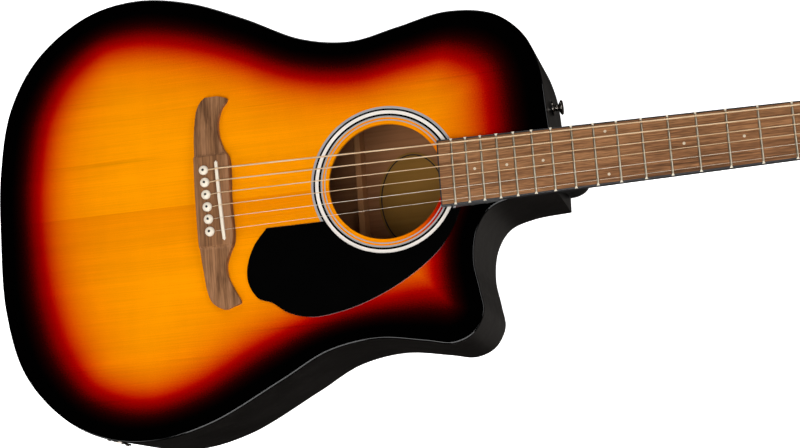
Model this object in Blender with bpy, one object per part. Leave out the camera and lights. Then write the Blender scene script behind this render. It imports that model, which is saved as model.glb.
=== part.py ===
"""A six-string acoustic guitar with a cutaway, made as the separate pieces that it is built from.

The instrument is drawn in its own millimetres: X runs along the strings, from 0 at the nominal
saddle line to the nut at the scale length, +Y is the bass side, and Z = 0 is the soundboard's face.
One empty, "instrument", then lays the whole guitar on its flat back, with +Z up, in metres.
"""
import math

import bmesh
import bpy
from mathutils import Matrix, Vector

MM = 0.001
GAP = 0.3

# Strings and neck
SCALE_LENGTH = 643.0
FRET_COUNT = 20
FRET_WIDTH = 2.2
FRET_HEIGHT = 0.9
FRET_SINK = 0.6
FRET_SHORTFALL = 0.4
STRING_GAUGES = (1.35, 1.07, 0.81, 0.61, 0.41, 0.30)
STRING_COUNT = len(STRING_GAUGES)
SADDLE_STRING_SPACING = 10.8
SADDLE_STRING_SHIFT = -0.5
NUT_STRING_SPACING = 7.0
NUT_WIDTH = 42.7
NUT_LENGTH = 4.7
NUT_TOP = 7.2
BOARD_END = 190.2
BOARD_END_WIDTH = 56.7
BOARD_TOP = 6.5
BOARD_RADIUS = 400.0
NECK_DEPTH_AT_NUT = 14.5
NECK_DEPTH_AT_BODY = 17.0
NECK_SET_IN = 0.4

# Body
BODY_END = 286.0
DEPTH_AT_NECK = 105.1
DEPTH_TAPER = 0.04338
TOP_THICKNESS = 3.0
BACK_THICKNESS = 3.0
SIDE_THICKNESS = 2.3
LINING_WIDTH = 6.0
LINING_HEIGHT = 14.0
LINING_CLEARANCE = 1.0
NECK_BLOCK = (226.0, 281.6, -20.5, 38.0)
TAIL_BLOCK = (-203.2, -186.0, -32.0, 32.0)
TENON_LENGTH = 22.0
TENON_HALF_WIDTH = 11.0
TENON_BOTTOM = -70.0

# Soundhole, rosette and bridge
HOLE_X = 143.2
HOLE_RADIUS = 49.6
HOLE_SIDES = 48
ROSETTE_INNER = 52.3
ROSETTE_OUTER = 65.0
ROSETTE_DEPTH = 0.9
GUARD_RING_RADIUS = 61.8
GUARD_THICKNESS = 1.2
GUARD_ARC_STEPS = 18
BRIDGE_BLOCK_TOP = 8.3
BRIDGE_WING_TOP = 6.0
BRIDGE_TIP_TOP = 3.6
BRIDGE_BLOCK_HALF = 39.0
PIN_LINE_X = -12.3
PIN_LINE_SLOPE = -0.055
PIN_RADIUS = 2.5
PIN_HOLE_RADIUS = 2.95
PIN_HEAD_RADIUS = 4.0
SADDLE_CENTRE = (-0.4, -1.2)
SADDLE_LENGTH = 70.5
SADDLE_THICKNESS = 2.8
SADDLE_TOP = 11.2
SADDLE_FLOOR = 3.2
SADDLE_SLOPE = -0.06

# Headstock and tuners
HEAD_ANGLE = math.radians(14.0)
HEAD_START = 648.3
HEAD_THICKNESS = 14.5
POST_STATIONS = (52.0, 92.0, 132.0)
POST_OFFSET = 23.0
POST_RADIUS = 3.0
POST_HEIGHT = 13.0
WORM_OFFSET = 8.8
HOUSING_DEPTH = 12.0
GEAR_AXIS_DEPTH = 6.3
HEAD_HALF_OUTLINE = (
    (0, 21.6), (10, 22.3), (26, 29), (42, 35.5), (60, 36.5), (110, 34.4), (150, 34.2), (176, 36.4),
)
HEAD_CROWN = ((184, 27), (188.5, 14), (190, 0), (188.5, -14), (184, -27))
# The heel's depth below the soundboard's face, its reach from the body and its half width
HEEL_RINGS = (
    (-3, 67, 25.6), (-16, 54, 23.8), (-30, 40, 21.4), (-48, 29, 18.2),
    (-66, 23.4, 15.6), (-84, 20.2, 13.6), (-97, 18.6, 12.6),
)

# Hardware, as (radius, height) profiles along each piece's own axis
STRAP_BUTTON = ((6.3, 0), (6.2, 1.4), (2.7, 2.6), (2.5, 5.4), (6.4, 7.8), (6.2, 9.0), (4.2, 9.6))
STRAP_BUTTON_NECK = (284.4, 54.4, -38)
STRAP_BUTTON_TAIL = (-207.9, -5, -60)
KNOB = ((2, -6), (2, 4.8), (6.2, 4.8), (6.2, 8.2), (5.4, 8.8))
KNOB_ROW = -21.0
KNOB_STATIONS = (("volume", -24), ("treble", 0), ("bass", 24))

# Preamp in the bass side's upper bout: X runs along the side, Y down it and Z out of it
PREAMP_SPOT = (165, 134.1)
PREAMP_HEADING = math.radians(13)
PREAMP_LEVEL = -54.0
PANEL_HALF = (38.0, 31.0)
PREAMP_BOX_HALF = (33.0, 27.0)
PREAMP_BOX_DEPTH = 30.0
BATTERY_BAY = (-27, 27, -1.5, 25.5)
BATTERY_BAY_DEPTH = 26.0
DOOR_HINGE = (0, 24.0, 3.2)
DOOR_HALF_LENGTH = 26.5
DOOR_HEIGHT = 25.0
SWITCH = (9, 17, -9.5, -5.5)

# Output socket in the treble side's lower bout
JACK_SPOT = (-119.3, -193.1)
JACK_HEADING = math.radians(160.3)
JACK_LEVEL = -39.0
JACK_PLATE_HALF = (12.0, 8.5)
JACK_BORE_RADIUS = 3.6
JACK_BARREL_RADIUS = 6.5
JACK_DISH_RADIUS = 5.2

# The body's outline, from the cutaway's corner at the neck, round the bass side and the tail
CORNER = (285.5, -24)
OUTLINE_KNOTS = (
    CORNER, (286, 3), (284.4, 40), (280.8, 84), (270.2, 112.1), (246.1, 133.7), (206, 141.2),
    (163, 133.6), (121, 126.5), (78, 134.4), (26.1, 160.8), (-23.9, 182), (-73, 190.6),
    (-120.2, 182.1), (-167.4, 149.8), (-194.6, 105.2), (-205.7, 48), (-207.2, -8), (-203.9, -76.1),
    (-187.8, -132.4), (-153.5, -173.5), (-115.3, -194.4), (-72, -199.7), (-21.7, -189.6),
    (43.4, -158.8), (84.3, -138.6), (127, -132.3), (167.8, -138.5), (190.1, -142.4), (207.6, -136),
    (218, -119.2), (216.3, -99.9), (213.1, -76), (217.6, -50.2), (230.2, -33.2), (252, -26.3),
)
# The pickguard's free edge, from the fingerboard back round to its straight upper edge
GUARD_KNOTS = (
    (206, -30), (197, -48), (183, -65), (160, -82), (130, -97), (100, -106),
    (72, -108.7), (52, -103), (38, -93), (27, -88.5), (19, -76), (18, -62), (25, -43), (37, -28.5),
)
# The bridge's rear and front edges, as (y, x), from the bass tip to the treble tip
BRIDGE_REAR = (
    (92.2, -2.5), (91.5, -8), (89.7, -12.8), (85.4, -16.2), (80.3, -18.6), (73.8, -20.4), (62, -21.9),
    (40, -22.9), (0, -23.3), (-20, -23), (-38, -21.9), (-50, -20.6), (-63, -19.3), (-77, -17.1),
    (-84, -15.3), (-89.6, -12.6), (-93, -8.6), (-94.8, -2),
)
BRIDGE_FRONT = (
    (92.2, -1.5), (91.6, 2), (90, 6), (88.5, 8.6), (87.3, 8.5), (83.6, 5.7), (78.6, 3.1), (70.8, 0.9),
    (64.2, 0), (57.5, -0.1), (50.6, 1.1), (44.9, 3.5), (38.8, 7.2), (36, 8.1), (0, 8.2), (-37, 8.8),
    (-41.8, 6.7), (-47.4, 4.6), (-53.6, 2.6), (-60, 1.7), (-66.6, 2.1), (-72, 3.4), (-78.7, 5.7),
    (-85.3, 8.6), (-89.6, 11), (-90.5, 10.6), (-92.2, 6.5), (-93.8, 2.5), (-94.8, -1),
)


# ---------------------------------------------------------------- shapes in the plane
def spline(points, steps):
    """Points along a smooth centripetal curve through the given ones, ends included."""
    knots = [Vector((p[0], p[1], 0)) for p in points]
    knots = [2 * knots[0] - knots[1]] + knots + [2 * knots[-1] - knots[-2]]
    curve = []
    for i in range(1, len(knots) - 2):
        p = knots[i - 1 : i + 3]
        t = [0.0]
        for a, b in zip(p, p[1:]):
            t.append(t[-1] + math.sqrt((b - a).length))
        for step in range(steps):
            u = t[1] + (t[2] - t[1]) * step / steps
            a1 = p[0].lerp(p[1], (u - t[0]) / (t[1] - t[0]))
            a2 = p[1].lerp(p[2], (u - t[1]) / (t[2] - t[1]))
            a3 = p[2].lerp(p[3], (u - t[2]) / (t[3] - t[2]))
            b1 = a1.lerp(a2, (u - t[0]) / (t[2] - t[0]))
            b2 = a2.lerp(a3, (u - t[1]) / (t[3] - t[1]))
            curve.append(b1.lerp(b2, (u - t[1]) / (t[2] - t[1])))
    curve.append(knots[-2])
    return [(p.x, p.y) for p in curve]


def left_of(a, b):
    """The unit vector to the left of the way from a to b."""
    length = math.hypot(b[0] - a[0], b[1] - a[1])
    return -(b[1] - a[1]) / length, (b[0] - a[0]) / length


def offset(points, distance):
    """The same open path moved to its left by the distance, with mitred corners."""
    normals = [left_of(a, b) for a, b in zip(points, points[1:])]
    normals = [normals[0]] + normals + [normals[-1]]
    moved = []
    for (x, y), (ax, ay), (bx, by) in zip(points, normals, normals[1:]):
        mitre = distance / (1 + ax * bx + ay * by)
        moved.append((x + (ax + bx) * mitre, y + (ay + by) * mitre))
    return moved


def clipped(loop, start, end):
    """The part of a closed loop on the left of the line from start to end, as an open path."""
    def side(p):
        return (end[0] - start[0]) * (p[1] - start[1]) - (end[1] - start[1]) * (p[0] - start[0])

    count = len(loop)
    first = next(i for i in range(count) if side(loop[i - 1]) <= 0 < side(loop[i]))
    path = []
    for k in range(count + 1):
        a, b = loop[(first + k - 1) % count], loop[(first + k) % count]
        sa, sb = side(a), side(b)
        if (sa <= 0) != (sb <= 0):
            f = sa / (sa - sb)
            path.append((a[0] + (b[0] - a[0]) * f, a[1] + (b[1] - a[1]) * f))
        if sb <= 0 and path[1:]:
            return path
        path.append(b)
    return path


def at(pairs, value):
    """Linear interpolation in a list of (position, value) pairs that falls in position."""
    for (y0, v0), (y1, v1) in zip(pairs, pairs[1:]):
        if y1 <= value <= y0:
            return v0 + (v1 - v0) * (value - y0) / (y1 - y0)
    return pairs[-1][1]


def circle(radius, sides, centre=(0, 0)):
    angles = [2 * math.pi * i / sides for i in range(sides)]
    return [(centre[0] + radius * math.cos(a), centre[1] + radius * math.sin(a)) for a in angles]


def rectangle(x0, x1, y0, y1):
    return [(x0, y0), (x1, y0), (x1, y1), (x0, y1)]


def back_z(x):
    """Height of the back's outer face."""
    return -(DEPTH_AT_NECK + (BODY_END - x) * DEPTH_TAPER)


def board_width(x):
    """Width of the fingerboard and of the neck under it."""
    return NUT_WIDTH + (BOARD_END_WIDTH - NUT_WIDTH) * (SCALE_LENGTH - x) / (SCALE_LENGTH - BOARD_END)


def fret_x(number):
    """Distance of a fret from the saddle: each step shortens the string by the same ratio."""
    return SCALE_LENGTH * 2 ** (-number / 12)


def crowned(half, top, radius, shares):
    """Heights across a surface that is rounded along the strings, as (y, z)."""
    return [(half * share, top - (half * share) ** 2 / (2 * radius)) for share in shares]


# ---------------------------------------------------------------- solids
def material(name, colour, roughness, metallic=0.0):
    made = bpy.data.materials.new(name)
    made.use_nodes = True
    shader = made.node_tree.nodes["Principled BSDF"]
    shader.inputs["Base Color"].default_value = (*colour, 1)
    shader.inputs["Roughness"].default_value = roughness
    shader.inputs["Metallic"].default_value = metallic
    return made


def empty(name, parent=None, matrix=None):
    made = bpy.data.objects.new(name, None)
    bpy.context.collection.objects.link(made)
    made.parent = parent
    if matrix is not None:
        made.matrix_local = matrix
    return made


def place(mesh, name, finish, parent, centre=(0, 0, 0), turn=(0, 0, 0)):
    made = bpy.data.objects.new(name, mesh)
    bpy.context.collection.objects.link(made)
    made.parent = parent
    made.location = [c * MM for c in centre]
    made.rotation_euler = turn
    if finish is None:
        made.hide_render = True
        made.display_type = "WIRE"
    else:
        made.data.materials.append(finish)
    return made


def loft(name, rings, finish, parent, centre=(0, 0, 0), turn=(0, 0, 0), closed=False):
    """One closed body through rings of equal length, capped at both ends or joined in a loop."""
    bm = bmesh.new()
    layers = [[bm.verts.new([c * MM for c in p]) for p in ring] for ring in rings]
    pairs = list(zip(layers, layers[1:]))
    if closed:
        pairs.append((layers[-1], layers[0]))
    else:
        bm.faces.new(layers[0])
        bm.faces.new(layers[-1])
    for low, high in pairs:
        for i in range(len(low)):
            j = (i + 1) % len(low)
            bm.faces.new((low[i], low[j], high[j], high[i]))
    bmesh.ops.recalc_face_normals(bm, faces=bm.faces)
    mesh = bpy.data.meshes.new(name)
    bm.to_mesh(mesh)
    bm.free()
    mesh.shade_smooth()
    mesh.set_sharp_from_angle(angle=math.radians(30))
    return place(mesh, name, finish, parent, centre, turn)


def prism(name, outline, low, high, finish, parent, centre=(0, 0, 0), turn=(0, 0, 0)):
    """An upright body between two heights, each a number or a function of x."""
    rings = []
    for level in (low, high):
        rings.append([(x, y, level(x) if callable(level) else level) for x, y in outline])
    return loft(name, rings, finish, parent, centre, turn)


def strip(name, path, inner, outer, low, high, finish, parent):
    """A bent strip that follows a path, between two offsets to its left and two heights."""
    rings = []
    for (xa, ya), (xb, yb) in zip(offset(path, outer), offset(path, inner)):
        rings.append([(xa, ya, low(xa)), (xb, yb, low(xb)), (xb, yb, high(xb)), (xa, ya, high(xa))])
    return loft(name, rings, finish, parent)


def turned(name, profile, sides, finish, parent, centre=(0, 0, 0), turn=(0, 0, 0)):
    """A round body from (radius, height) pairs along its own Z axis."""
    rings = [[(x, y, height) for x, y in circle(radius, sides)] for radius, height in profile]
    return loft(name, rings, finish, parent, centre, turn)


def bar(name, start, end, width, height, level, direction, finish, parent):
    """A brace with thinned ends, from start to end, standing off the given level."""
    run = Vector((end[0] - start[0], end[1] - start[1]))
    side = Vector((-run.y, run.x)).normalized() * width / 2
    rings = []
    for share, rise in ((0, 0.3), (0.14, 1), (0.5, 1), (0.86, 1), (1, 0.3)):
        x, y = start[0] + run.x * share, start[1] + run.y * share
        foot = level(x) if callable(level) else level
        tip = foot + direction * height * rise
        rings.append(
            [
                (x + side.x, y + side.y, foot),
                (x - side.x, y - side.y, foot),
                (x - side.x * 0.5, y - side.y * 0.5, tip),
                (x + side.x * 0.5, y + side.y * 0.5, tip),
            ]
        )
    return loft(name, rings, finish, parent)


def combine(target, operation, *tools):
    for tool in tools:
        modifier = target.modifiers.new(tool.name, "BOOLEAN")
        modifier.operation = operation
        modifier.solver = "EXACT"
        modifier.object = tool
    return target


def cut(target, *tools):
    return combine(target, "DIFFERENCE", *tools)


def join(target, *tools):
    return combine(target, "UNION", *tools)


# ---------------------------------------------------------------- the guitar
def string_y(index, spacing):
    """Distance of a string from the centreline, string 0 being the low one on the bass side."""
    return ((STRING_COUNT - 1) / 2 - index) * spacing


def pin_place(index):
    y = string_y(index, SADDLE_STRING_SPACING) + SADDLE_STRING_SHIFT
    return PIN_LINE_X + PIN_LINE_SLOPE * y, y


def make_finishes():
    return {
        "top": material("top_spruce_burst", (0.80, 0.30, 0.02), 0.25),
        "black": material("black_lacquer", (0.015, 0.012, 0.01), 0.3),
        "inner": material("inner_wood", (0.42, 0.26, 0.14), 0.7),
        "spruce": material("brace_spruce", (0.68, 0.50, 0.30), 0.7),
        "walnut": material("walnut", (0.30, 0.16, 0.08), 0.5),
        "bone": material("bone", (0.85, 0.80, 0.68), 0.4),
        "guard": material("guard_black", (0.01, 0.01, 0.01), 0.1),
        "ring": material("rosette_rings", (0.60, 0.58, 0.55), 0.4),
        "dark_metal": material("dark_chrome", (0.10, 0.09, 0.08), 0.2, 1.0),
        "steel": material("steel", (0.70, 0.70, 0.72), 0.3, 1.0),
        "bronze": material("bronze_wound", (0.72, 0.50, 0.28), 0.35, 1.0),
        "plastic": material("black_plastic", (0.02, 0.02, 0.02), 0.5),
    }


def make_box(finish, guitar, outline):
    """Soundboard, back, bent sides, linings and the two end blocks."""
    under_top = -TOP_THICKNESS - GAP

    def over_back(x):
        return back_z(x) + BACK_THICKNESS + GAP

    top = prism("soundboard", outline, -TOP_THICKNESS, 0, finish["top"], guitar)
    hole = prism("cut_soundhole", circle(HOLE_RADIUS, HOLE_SIDES, (HOLE_X, 0)), -20, 20, None, guitar)
    section = (
        (ROSETTE_INNER - GAP, -ROSETTE_DEPTH - GAP), (ROSETTE_OUTER + GAP, -ROSETTE_DEPTH - GAP),
        (ROSETTE_OUTER + GAP, 5), (ROSETTE_INNER - GAP, 5),
    )
    rings = [[(x, y, z) for x, y in circle(radius, HOLE_SIDES, (HOLE_X, 0))] for radius, z in section]
    channel = loft("cut_rosette_channel", rings, None, guitar, closed=True)
    cut(top, hole, channel)
    prism(
        "back_plate", outline, back_z, lambda x: back_z(x) + BACK_THICKNESS, finish["black"], guitar
    )
    slot = TENON_HALF_WIDTH + GAP
    bass = clipped(outline, (-207, -2 + GAP), (BODY_END, slot))
    treble = clipped(outline, (BODY_END, -slot), (-207, -2 - GAP))
    sides = []
    for name, path in (("side_bass", bass), ("side_treble", treble)):
        sides.append(
            strip(name, path, 0, SIDE_THICKNESS, over_back, lambda x: under_top, finish["black"], guitar)
        )
    # The linings bend in longer facets than the sides, so they stand a little clear of them.
    inner = SIDE_THICKNESS + LINING_CLEARANCE
    bass_run = clipped(outline[::2], (-207, TAIL_BLOCK[3] + 3), (BODY_END, NECK_BLOCK[3] + 3))
    treble_run = clipped(outline[::2], (240, -44), (-207, TAIL_BLOCK[2] - 3))
    for name, path in (("bass", bass_run), ("treble", treble_run)):
        strip(
            f"lining_top_{name}", path, inner, inner + LINING_WIDTH,
            lambda x: under_top - LINING_HEIGHT, lambda x: under_top, finish["inner"], guitar,
        )
        strip(
            f"lining_back_{name}", path, inner, inner + LINING_WIDTH,
            over_back, lambda x: over_back(x) + LINING_HEIGHT, finish["inner"], guitar,
        )
    block = prism("neck_block", rectangle(*NECK_BLOCK), over_back, under_top, finish["inner"], guitar)
    mortise = prism(
        "cut_mortise",
        rectangle(BODY_END - TENON_LENGTH - GAP, BODY_END + 5, -slot, slot),
        TENON_BOTTOM - GAP, 5, None, guitar,
    )
    rod_channel = prism("cut_rod_access", rectangle(200, BODY_END, -4.5, 4.5), -11.5, 5, None, guitar)
    cut(block, mortise, rod_channel)
    prism("tail_block", rectangle(*TAIL_BLOCK), over_back, under_top, finish["inner"], guitar)
    return top, *sides


def make_braces(finish, guitar):
    """The X-braced top, with its bridge plate, and the ladder-braced back."""
    under_top = -TOP_THICKNESS - GAP
    crossing = Vector((65, 0))
    spread = math.radians(48)
    legs = []
    for sign in (1, -1):
        along = Vector((math.cos(spread), sign * math.sin(spread)))
        upper, lower = crossing + along * 140, crossing - along * 198
        legs.append(((lower.x, lower.y), (upper.x, upper.y)))
    x_brace = bar("top_bracing", *legs[0], 8, 12, under_top, -1, finish["spruce"], guitar)
    tools = [
        bar("join_cross_leg", *legs[1], 8, 12, under_top, -1, None, guitar),
        bar("join_transverse", (197.7, -116), (197.7, 120), 7.4, 14, under_top, -1, None, guitar),
        bar("join_tone_bar_front", (-22, -103), (-95, 95), 6.5, 10, under_top, -1, None, guitar),
        bar("join_tone_bar_rear", (-58, -143), (-150, 55), 6.5, 10, under_top, -1, None, guitar),
    ]
    for name, sign in (("bass", 1), ("treble", -1)):
        hole_brace = ((110, sign * 60), (199, sign * 60))
        finger_brace = ((-2, sign * 68), (12, sign * 150))
        tools.append(bar(f"join_hole_{name}", *hole_brace, 6, 7, under_top, -1, None, guitar))
        tools.append(bar(f"join_finger_{name}", *finger_brace, 6, 6, under_top, -1, None, guitar))
    join(x_brace, *tools)
    plate_outline = [(-34, -50), (6, -46), (6, 46), (-34, 50)]
    plate = prism("bridge_plate", plate_outline, under_top - 2.2, under_top, finish["inner"], guitar)

    def over_back(x):
        return back_z(x) + BACK_THICKNESS + GAP

    stations = ((-130, -150, 145), (-20, -172, 165), (96.6, -118, 112), (205, -44, 122))
    x, low, high = stations[0]
    ladder = bar("back_bracing", (x, low), (x, high), 10, 9, over_back, 1, finish["spruce"], guitar)
    rungs = [
        bar(f"join_rung_{i}", (x, low), (x, high), 10, 9, over_back, 1, None, guitar)
        for i, (x, low, high) in enumerate(stations[1:])
    ]
    # A thin strip on the treble side ties the rungs into one piece.
    strip = rectangle(-134, 209, -40, -33)
    tie = prism("join_tie_strip", strip, over_back, lambda x: over_back(x) + 1.2, None, guitar)
    join(ladder, *rungs, tie)
    return plate


def make_bridge(finish, guitar, top, plate):
    """Bridge, saddle and the six pins, with the holes that they pass through."""
    rear, front = spline(BRIDGE_REAR, 3), spline(BRIDGE_FRONT, 3)
    half = BRIDGE_BLOCK_HALF
    heights = (
        (93.6, BRIDGE_TIP_TOP), (80, 4.4), (60, 5.2), (half + 1.5, BRIDGE_WING_TOP),
        (half, BRIDGE_BLOCK_TOP), (-half, BRIDGE_BLOCK_TOP),
        (-half - 1.5, BRIDGE_WING_TOP), (-60, 5.2), (-80, 4.4), (-95.1, BRIDGE_TIP_TOP),
    )
    stations = (
        92.1, 90.5, 88.4, 84, 78, 68, 56, 46, half + 1.5, half, 20, -20, -half, -half - 1.5,
        -46, -57, -68, -78, -85, -89.8, -92.5, -94.7,
    )
    rings = []
    for y in stations:
        back, face, crown = at(rear, y), at(front, y), at(heights, y)
        bevel = min(1.5, (face - back) / 3)
        rings.append(
            [
                (back, y, GAP), (face, y, GAP), (face, y, crown - bevel),
                (face - bevel, y, crown), (back + bevel, y, crown), (back, y, crown - bevel),
            ]
        )
    bridge = loft("bridge", rings, finish["walnut"], guitar)
    slant = math.atan(-SADDLE_SLOPE)
    half_length, half_width = SADDLE_LENGTH / 2, SADDLE_THICKNESS / 2
    slot = prism(
        "cut_saddle_slot",
        rectangle(-half_width - GAP, half_width + GAP, -half_length - GAP, half_length + GAP),
        SADDLE_FLOOR - GAP, 30, None, guitar, (*SADDLE_CENTRE, 0), (0, 0, slant),
    )
    crest = []
    for share in (-1, -0.5, 0, 0.5, 1):
        y = share * half_length
        crown = SADDLE_TOP - y * y / (2 * BOARD_RADIUS)
        crest.append(
            [
                (-half_width, y, SADDLE_FLOOR), (half_width, y, SADDLE_FLOOR), (half_width, y, crown - 0.7),
                (half_width * 0.4, y, crown), (-half_width * 0.4, y, crown), (-half_width, y, crown - 0.7),
            ]
        )
    loft("saddle", crest, finish["bone"], guitar, (*SADDLE_CENTRE, 0), (0, 0, slant))
    holes = []
    for i in range(STRING_COUNT):
        x, y = pin_place(i)
        holes.append(prism(f"cut_pin_{i + 1}", circle(PIN_HOLE_RADIUS, 10, (x, y)), -15, 30, None, guitar))
        profile = (
            (1.8, -15), (PIN_RADIUS, BRIDGE_BLOCK_TOP + GAP), (3.6, BRIDGE_BLOCK_TOP + GAP),
            (PIN_HEAD_RADIUS, BRIDGE_BLOCK_TOP + 1.6), (2.6, BRIDGE_BLOCK_TOP + 3.4),
        )
        turned(f"bridge_pin_{i + 1}", profile, 10, finish["bone"], guitar, (x, y, 0))
    cut(bridge, slot, *holes)
    for drilled in (top, plate):
        cut(drilled, *holes)


def make_trim(finish, guitar):
    """Rosette ring, pickguard and the two strap buttons."""
    section = (
        (ROSETTE_INNER, -ROSETTE_DEPTH), (ROSETTE_OUTER, -ROSETTE_DEPTH),
        (ROSETTE_OUTER, 0), (ROSETTE_INNER, 0),
    )
    rings = [[(x, y, z) for x, y in circle(radius, HOLE_SIDES, (HOLE_X, 0))] for radius, z in section]
    loft("rosette", rings, finish["ring"], guitar, closed=True)
    free_edge = spline(GUARD_KNOTS, 3)
    upper = math.asin(-GUARD_KNOTS[-1][1] / GUARD_RING_RADIUS)
    lower = math.asin(-GUARD_KNOTS[0][1] / GUARD_RING_RADIUS)
    arc = []
    for i in range(GUARD_ARC_STEPS + 1):
        angle = math.pi + upper + (math.pi - upper - lower) * i / GUARD_ARC_STEPS
        arc.append((HOLE_X + GUARD_RING_RADIUS * math.cos(angle), GUARD_RING_RADIUS * math.sin(angle)))
    prism("pickguard", free_edge + arc, GAP, GAP + GUARD_THICKNESS, finish["guard"], guitar)
    for name, spot, turn in (("neck", STRAP_BUTTON_NECK, 1), ("tail", STRAP_BUTTON_TAIL, -1)):
        lean = (0, turn * math.pi / 2, 0)
        turned(f"strap_button_{name}", STRAP_BUTTON, 14, finish["dark_metal"], guitar, spot, lean)


def make_neck(finish, guitar, head):
    """Neck with its heel, tenon and angled head, and the truss rod inside it."""
    first, last = BODY_END + GAP, HEAD_START
    rings = []
    for share in (0, 0.1, 0.3, 0.6, 0.9, 1):
        x = first + (last - first) * share
        half = board_width(min(x, SCALE_LENGTH)) / 2 - NECK_SET_IN
        depth = NECK_DEPTH_AT_BODY + (NECK_DEPTH_AT_NUT - NECK_DEPTH_AT_BODY) * share
        ring = [(x, half, 0)]
        for i in range(1, 12):
            angle = math.pi * i / 12
            ring.append((x, half * math.cos(angle), -0.5 - depth * math.sin(angle)))
        ring.append((x, -half, 0))
        rings.append(ring)
    neck = loft("neck", rings, finish["black"], guitar)
    heel_rings = []
    for z, reach, half in HEEL_RINGS:
        ring = [(first, half, z)]
        for i in range(1, 10):
            angle = math.pi / 2 - math.pi * i / 10
            ring.append((first + reach * math.cos(angle) ** 0.9, half * math.sin(angle), z))
        ring.append((first, -half, z))
        heel_rings.append(ring)
    heel = loft("join_heel", heel_rings, None, guitar)
    tenon = prism(
        "join_tenon",
        rectangle(BODY_END - TENON_LENGTH, BODY_END + 12, -TENON_HALF_WIDTH, TENON_HALF_WIDTH),
        TENON_BOTTOM, -TOP_THICKNESS - 2 * GAP, None, guitar,
    )
    half_path = spline(HEAD_HALF_OUTLINE, 3)
    face = half_path + list(HEAD_CROWN) + [(u, -v) for u, v in reversed(half_path)]
    plate = prism("join_head", face, -HEAD_THICKNESS, 0, None, head)
    bulge = []
    for x, half, z, drop in ((620, 21, -6, 8), (642, 21, -9, 9), (660, 20, -10, 9.5), (676, 18, -14, 5)):
        shares = (1, 0.9, 0.6, 0, -0.6, -0.9, -1)
        bulge.append([(x, share * half, z - drop * math.sqrt(1 - share * share)) for share in shares])
    volute = loft("join_volute", bulge, None, guitar)
    join(neck, heel, tenon, plate, volute)
    rod_slot = prism("cut_rod_slot", rectangle(255, 631, -3.1, 3.1), -10.2, 0.5, None, guitar)
    post_holes = []
    for name, u, v in tuner_places():
        hole = circle(POST_RADIUS + 0.9, 12, (u, v))
        post_holes.append(prism(f"cut_post_{name}", hole, -40, 20, None, head))
    cut(neck, rod_slot, *post_holes)
    prism("truss_rod", rectangle(265, 630, -2.7, 2.7), -9.8, -3.8, finish["steel"], guitar)


def make_fingerboard(finish, guitar):
    """The crowned board with its frets pressed in, and the nut at its end."""
    rings = []
    for x in (BOARD_END, SCALE_LENGTH - GAP):
        half = board_width(x) / 2
        crown = crowned(half, BOARD_TOP, BOARD_RADIUS, (1, 0.75, 0.4, 0, -0.4, -0.75, -1))
        rings.append([(x, -half, GAP), (x, half, GAP)] + [(x, y, z) for y, z in crown])
    board = loft("fingerboard", rings, finish["walnut"], guitar)
    frets = []
    for number in range(1, FRET_COUNT + 1):
        x = fret_x(number)
        half = board_width(x) / 2 - FRET_SHORTFALL
        section = []
        for y, z in crowned(half, BOARD_TOP, BOARD_RADIUS, (1, 0.4, -0.4, -1)):
            section.append(
                [
                    (x - FRET_WIDTH / 2, y, z - FRET_SINK), (x + FRET_WIDTH / 2, y, z - FRET_SINK),
                    (x + FRET_WIDTH / 4, y, z + FRET_HEIGHT), (x - FRET_WIDTH / 4, y, z + FRET_HEIGHT),
                ]
            )
        frets.append(loft(f"join_fret_{number}", section, None, guitar))
    join(board, *frets)
    rings = []
    half = NUT_WIDTH / 2 - 0.1
    for x, top in ((SCALE_LENGTH, NUT_TOP), (SCALE_LENGTH + NUT_LENGTH, NUT_TOP - 1.2)):
        crown = crowned(half, top, BOARD_RADIUS, (1, 0.4, -0.4, -1))
        rings.append([(x, -half, GAP), (x, half, GAP)] + [(x, y, z) for y, z in crown])
    loft("nut", rings, finish["bone"], guitar)


def tuner_places():
    """Name and place on the head of each tuner, in the order of the strings."""
    places = [(POST_STATIONS[i], POST_OFFSET) for i in range(3)]
    places += [(POST_STATIONS[2 - i], -POST_OFFSET) for i in range(3)]
    return [(str(i + 1), u, v) for i, (u, v) in enumerate(places)]


def make_strings(finish, guitar, head_matrix):
    """Each string from its pin over the saddle and the nut to its post, clear of them all."""
    for i, ((name, u, v), gauge) in enumerate(zip(tuner_places(), STRING_GAUGES)):
        radius = gauge / 2
        pin_x, y = pin_place(i)
        side = 1 if v > 0 else -1
        saddle_x = SADDLE_CENTRE[0] + SADDLE_SLOPE * (y - SADDLE_CENTRE[1])
        nut_y = string_y(i, NUT_STRING_SPACING)
        beside_post = v - side * (POST_RADIUS + GAP + radius)
        post = head_matrix @ Vector((u * MM, beside_post * MM, 6.5 * MM)) / MM
        points = [
            (pin_x + PIN_HEAD_RADIUS + GAP + 0.3, y, BRIDGE_BLOCK_TOP + GAP + radius),
            (saddle_x - 2.2, y, SADDLE_TOP - 0.2 + radius),
            (saddle_x, y, SADDLE_TOP + GAP + radius),
            (SCALE_LENGTH - 0.5, nut_y, NUT_TOP + GAP + radius),
            (SCALE_LENGTH + NUT_LENGTH - 1, nut_y, NUT_TOP - 0.1 + radius),
            tuple(post),
        ]
        curve = bpy.data.curves.new(f"string_{name}", "CURVE")
        curve.dimensions = "3D"
        curve.bevel_depth = radius * MM
        curve.bevel_resolution = 2
        curve.use_fill_caps = True
        route = curve.splines.new("POLY")
        route.points.add(len(points) - 1)
        for point, place_at in zip(route.points, points):
            point.co = (*[c * MM for c in place_at], 1)
        place(curve, f"string_{name}", finish["bronze"] if i < 4 else finish["steel"], guitar)


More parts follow.
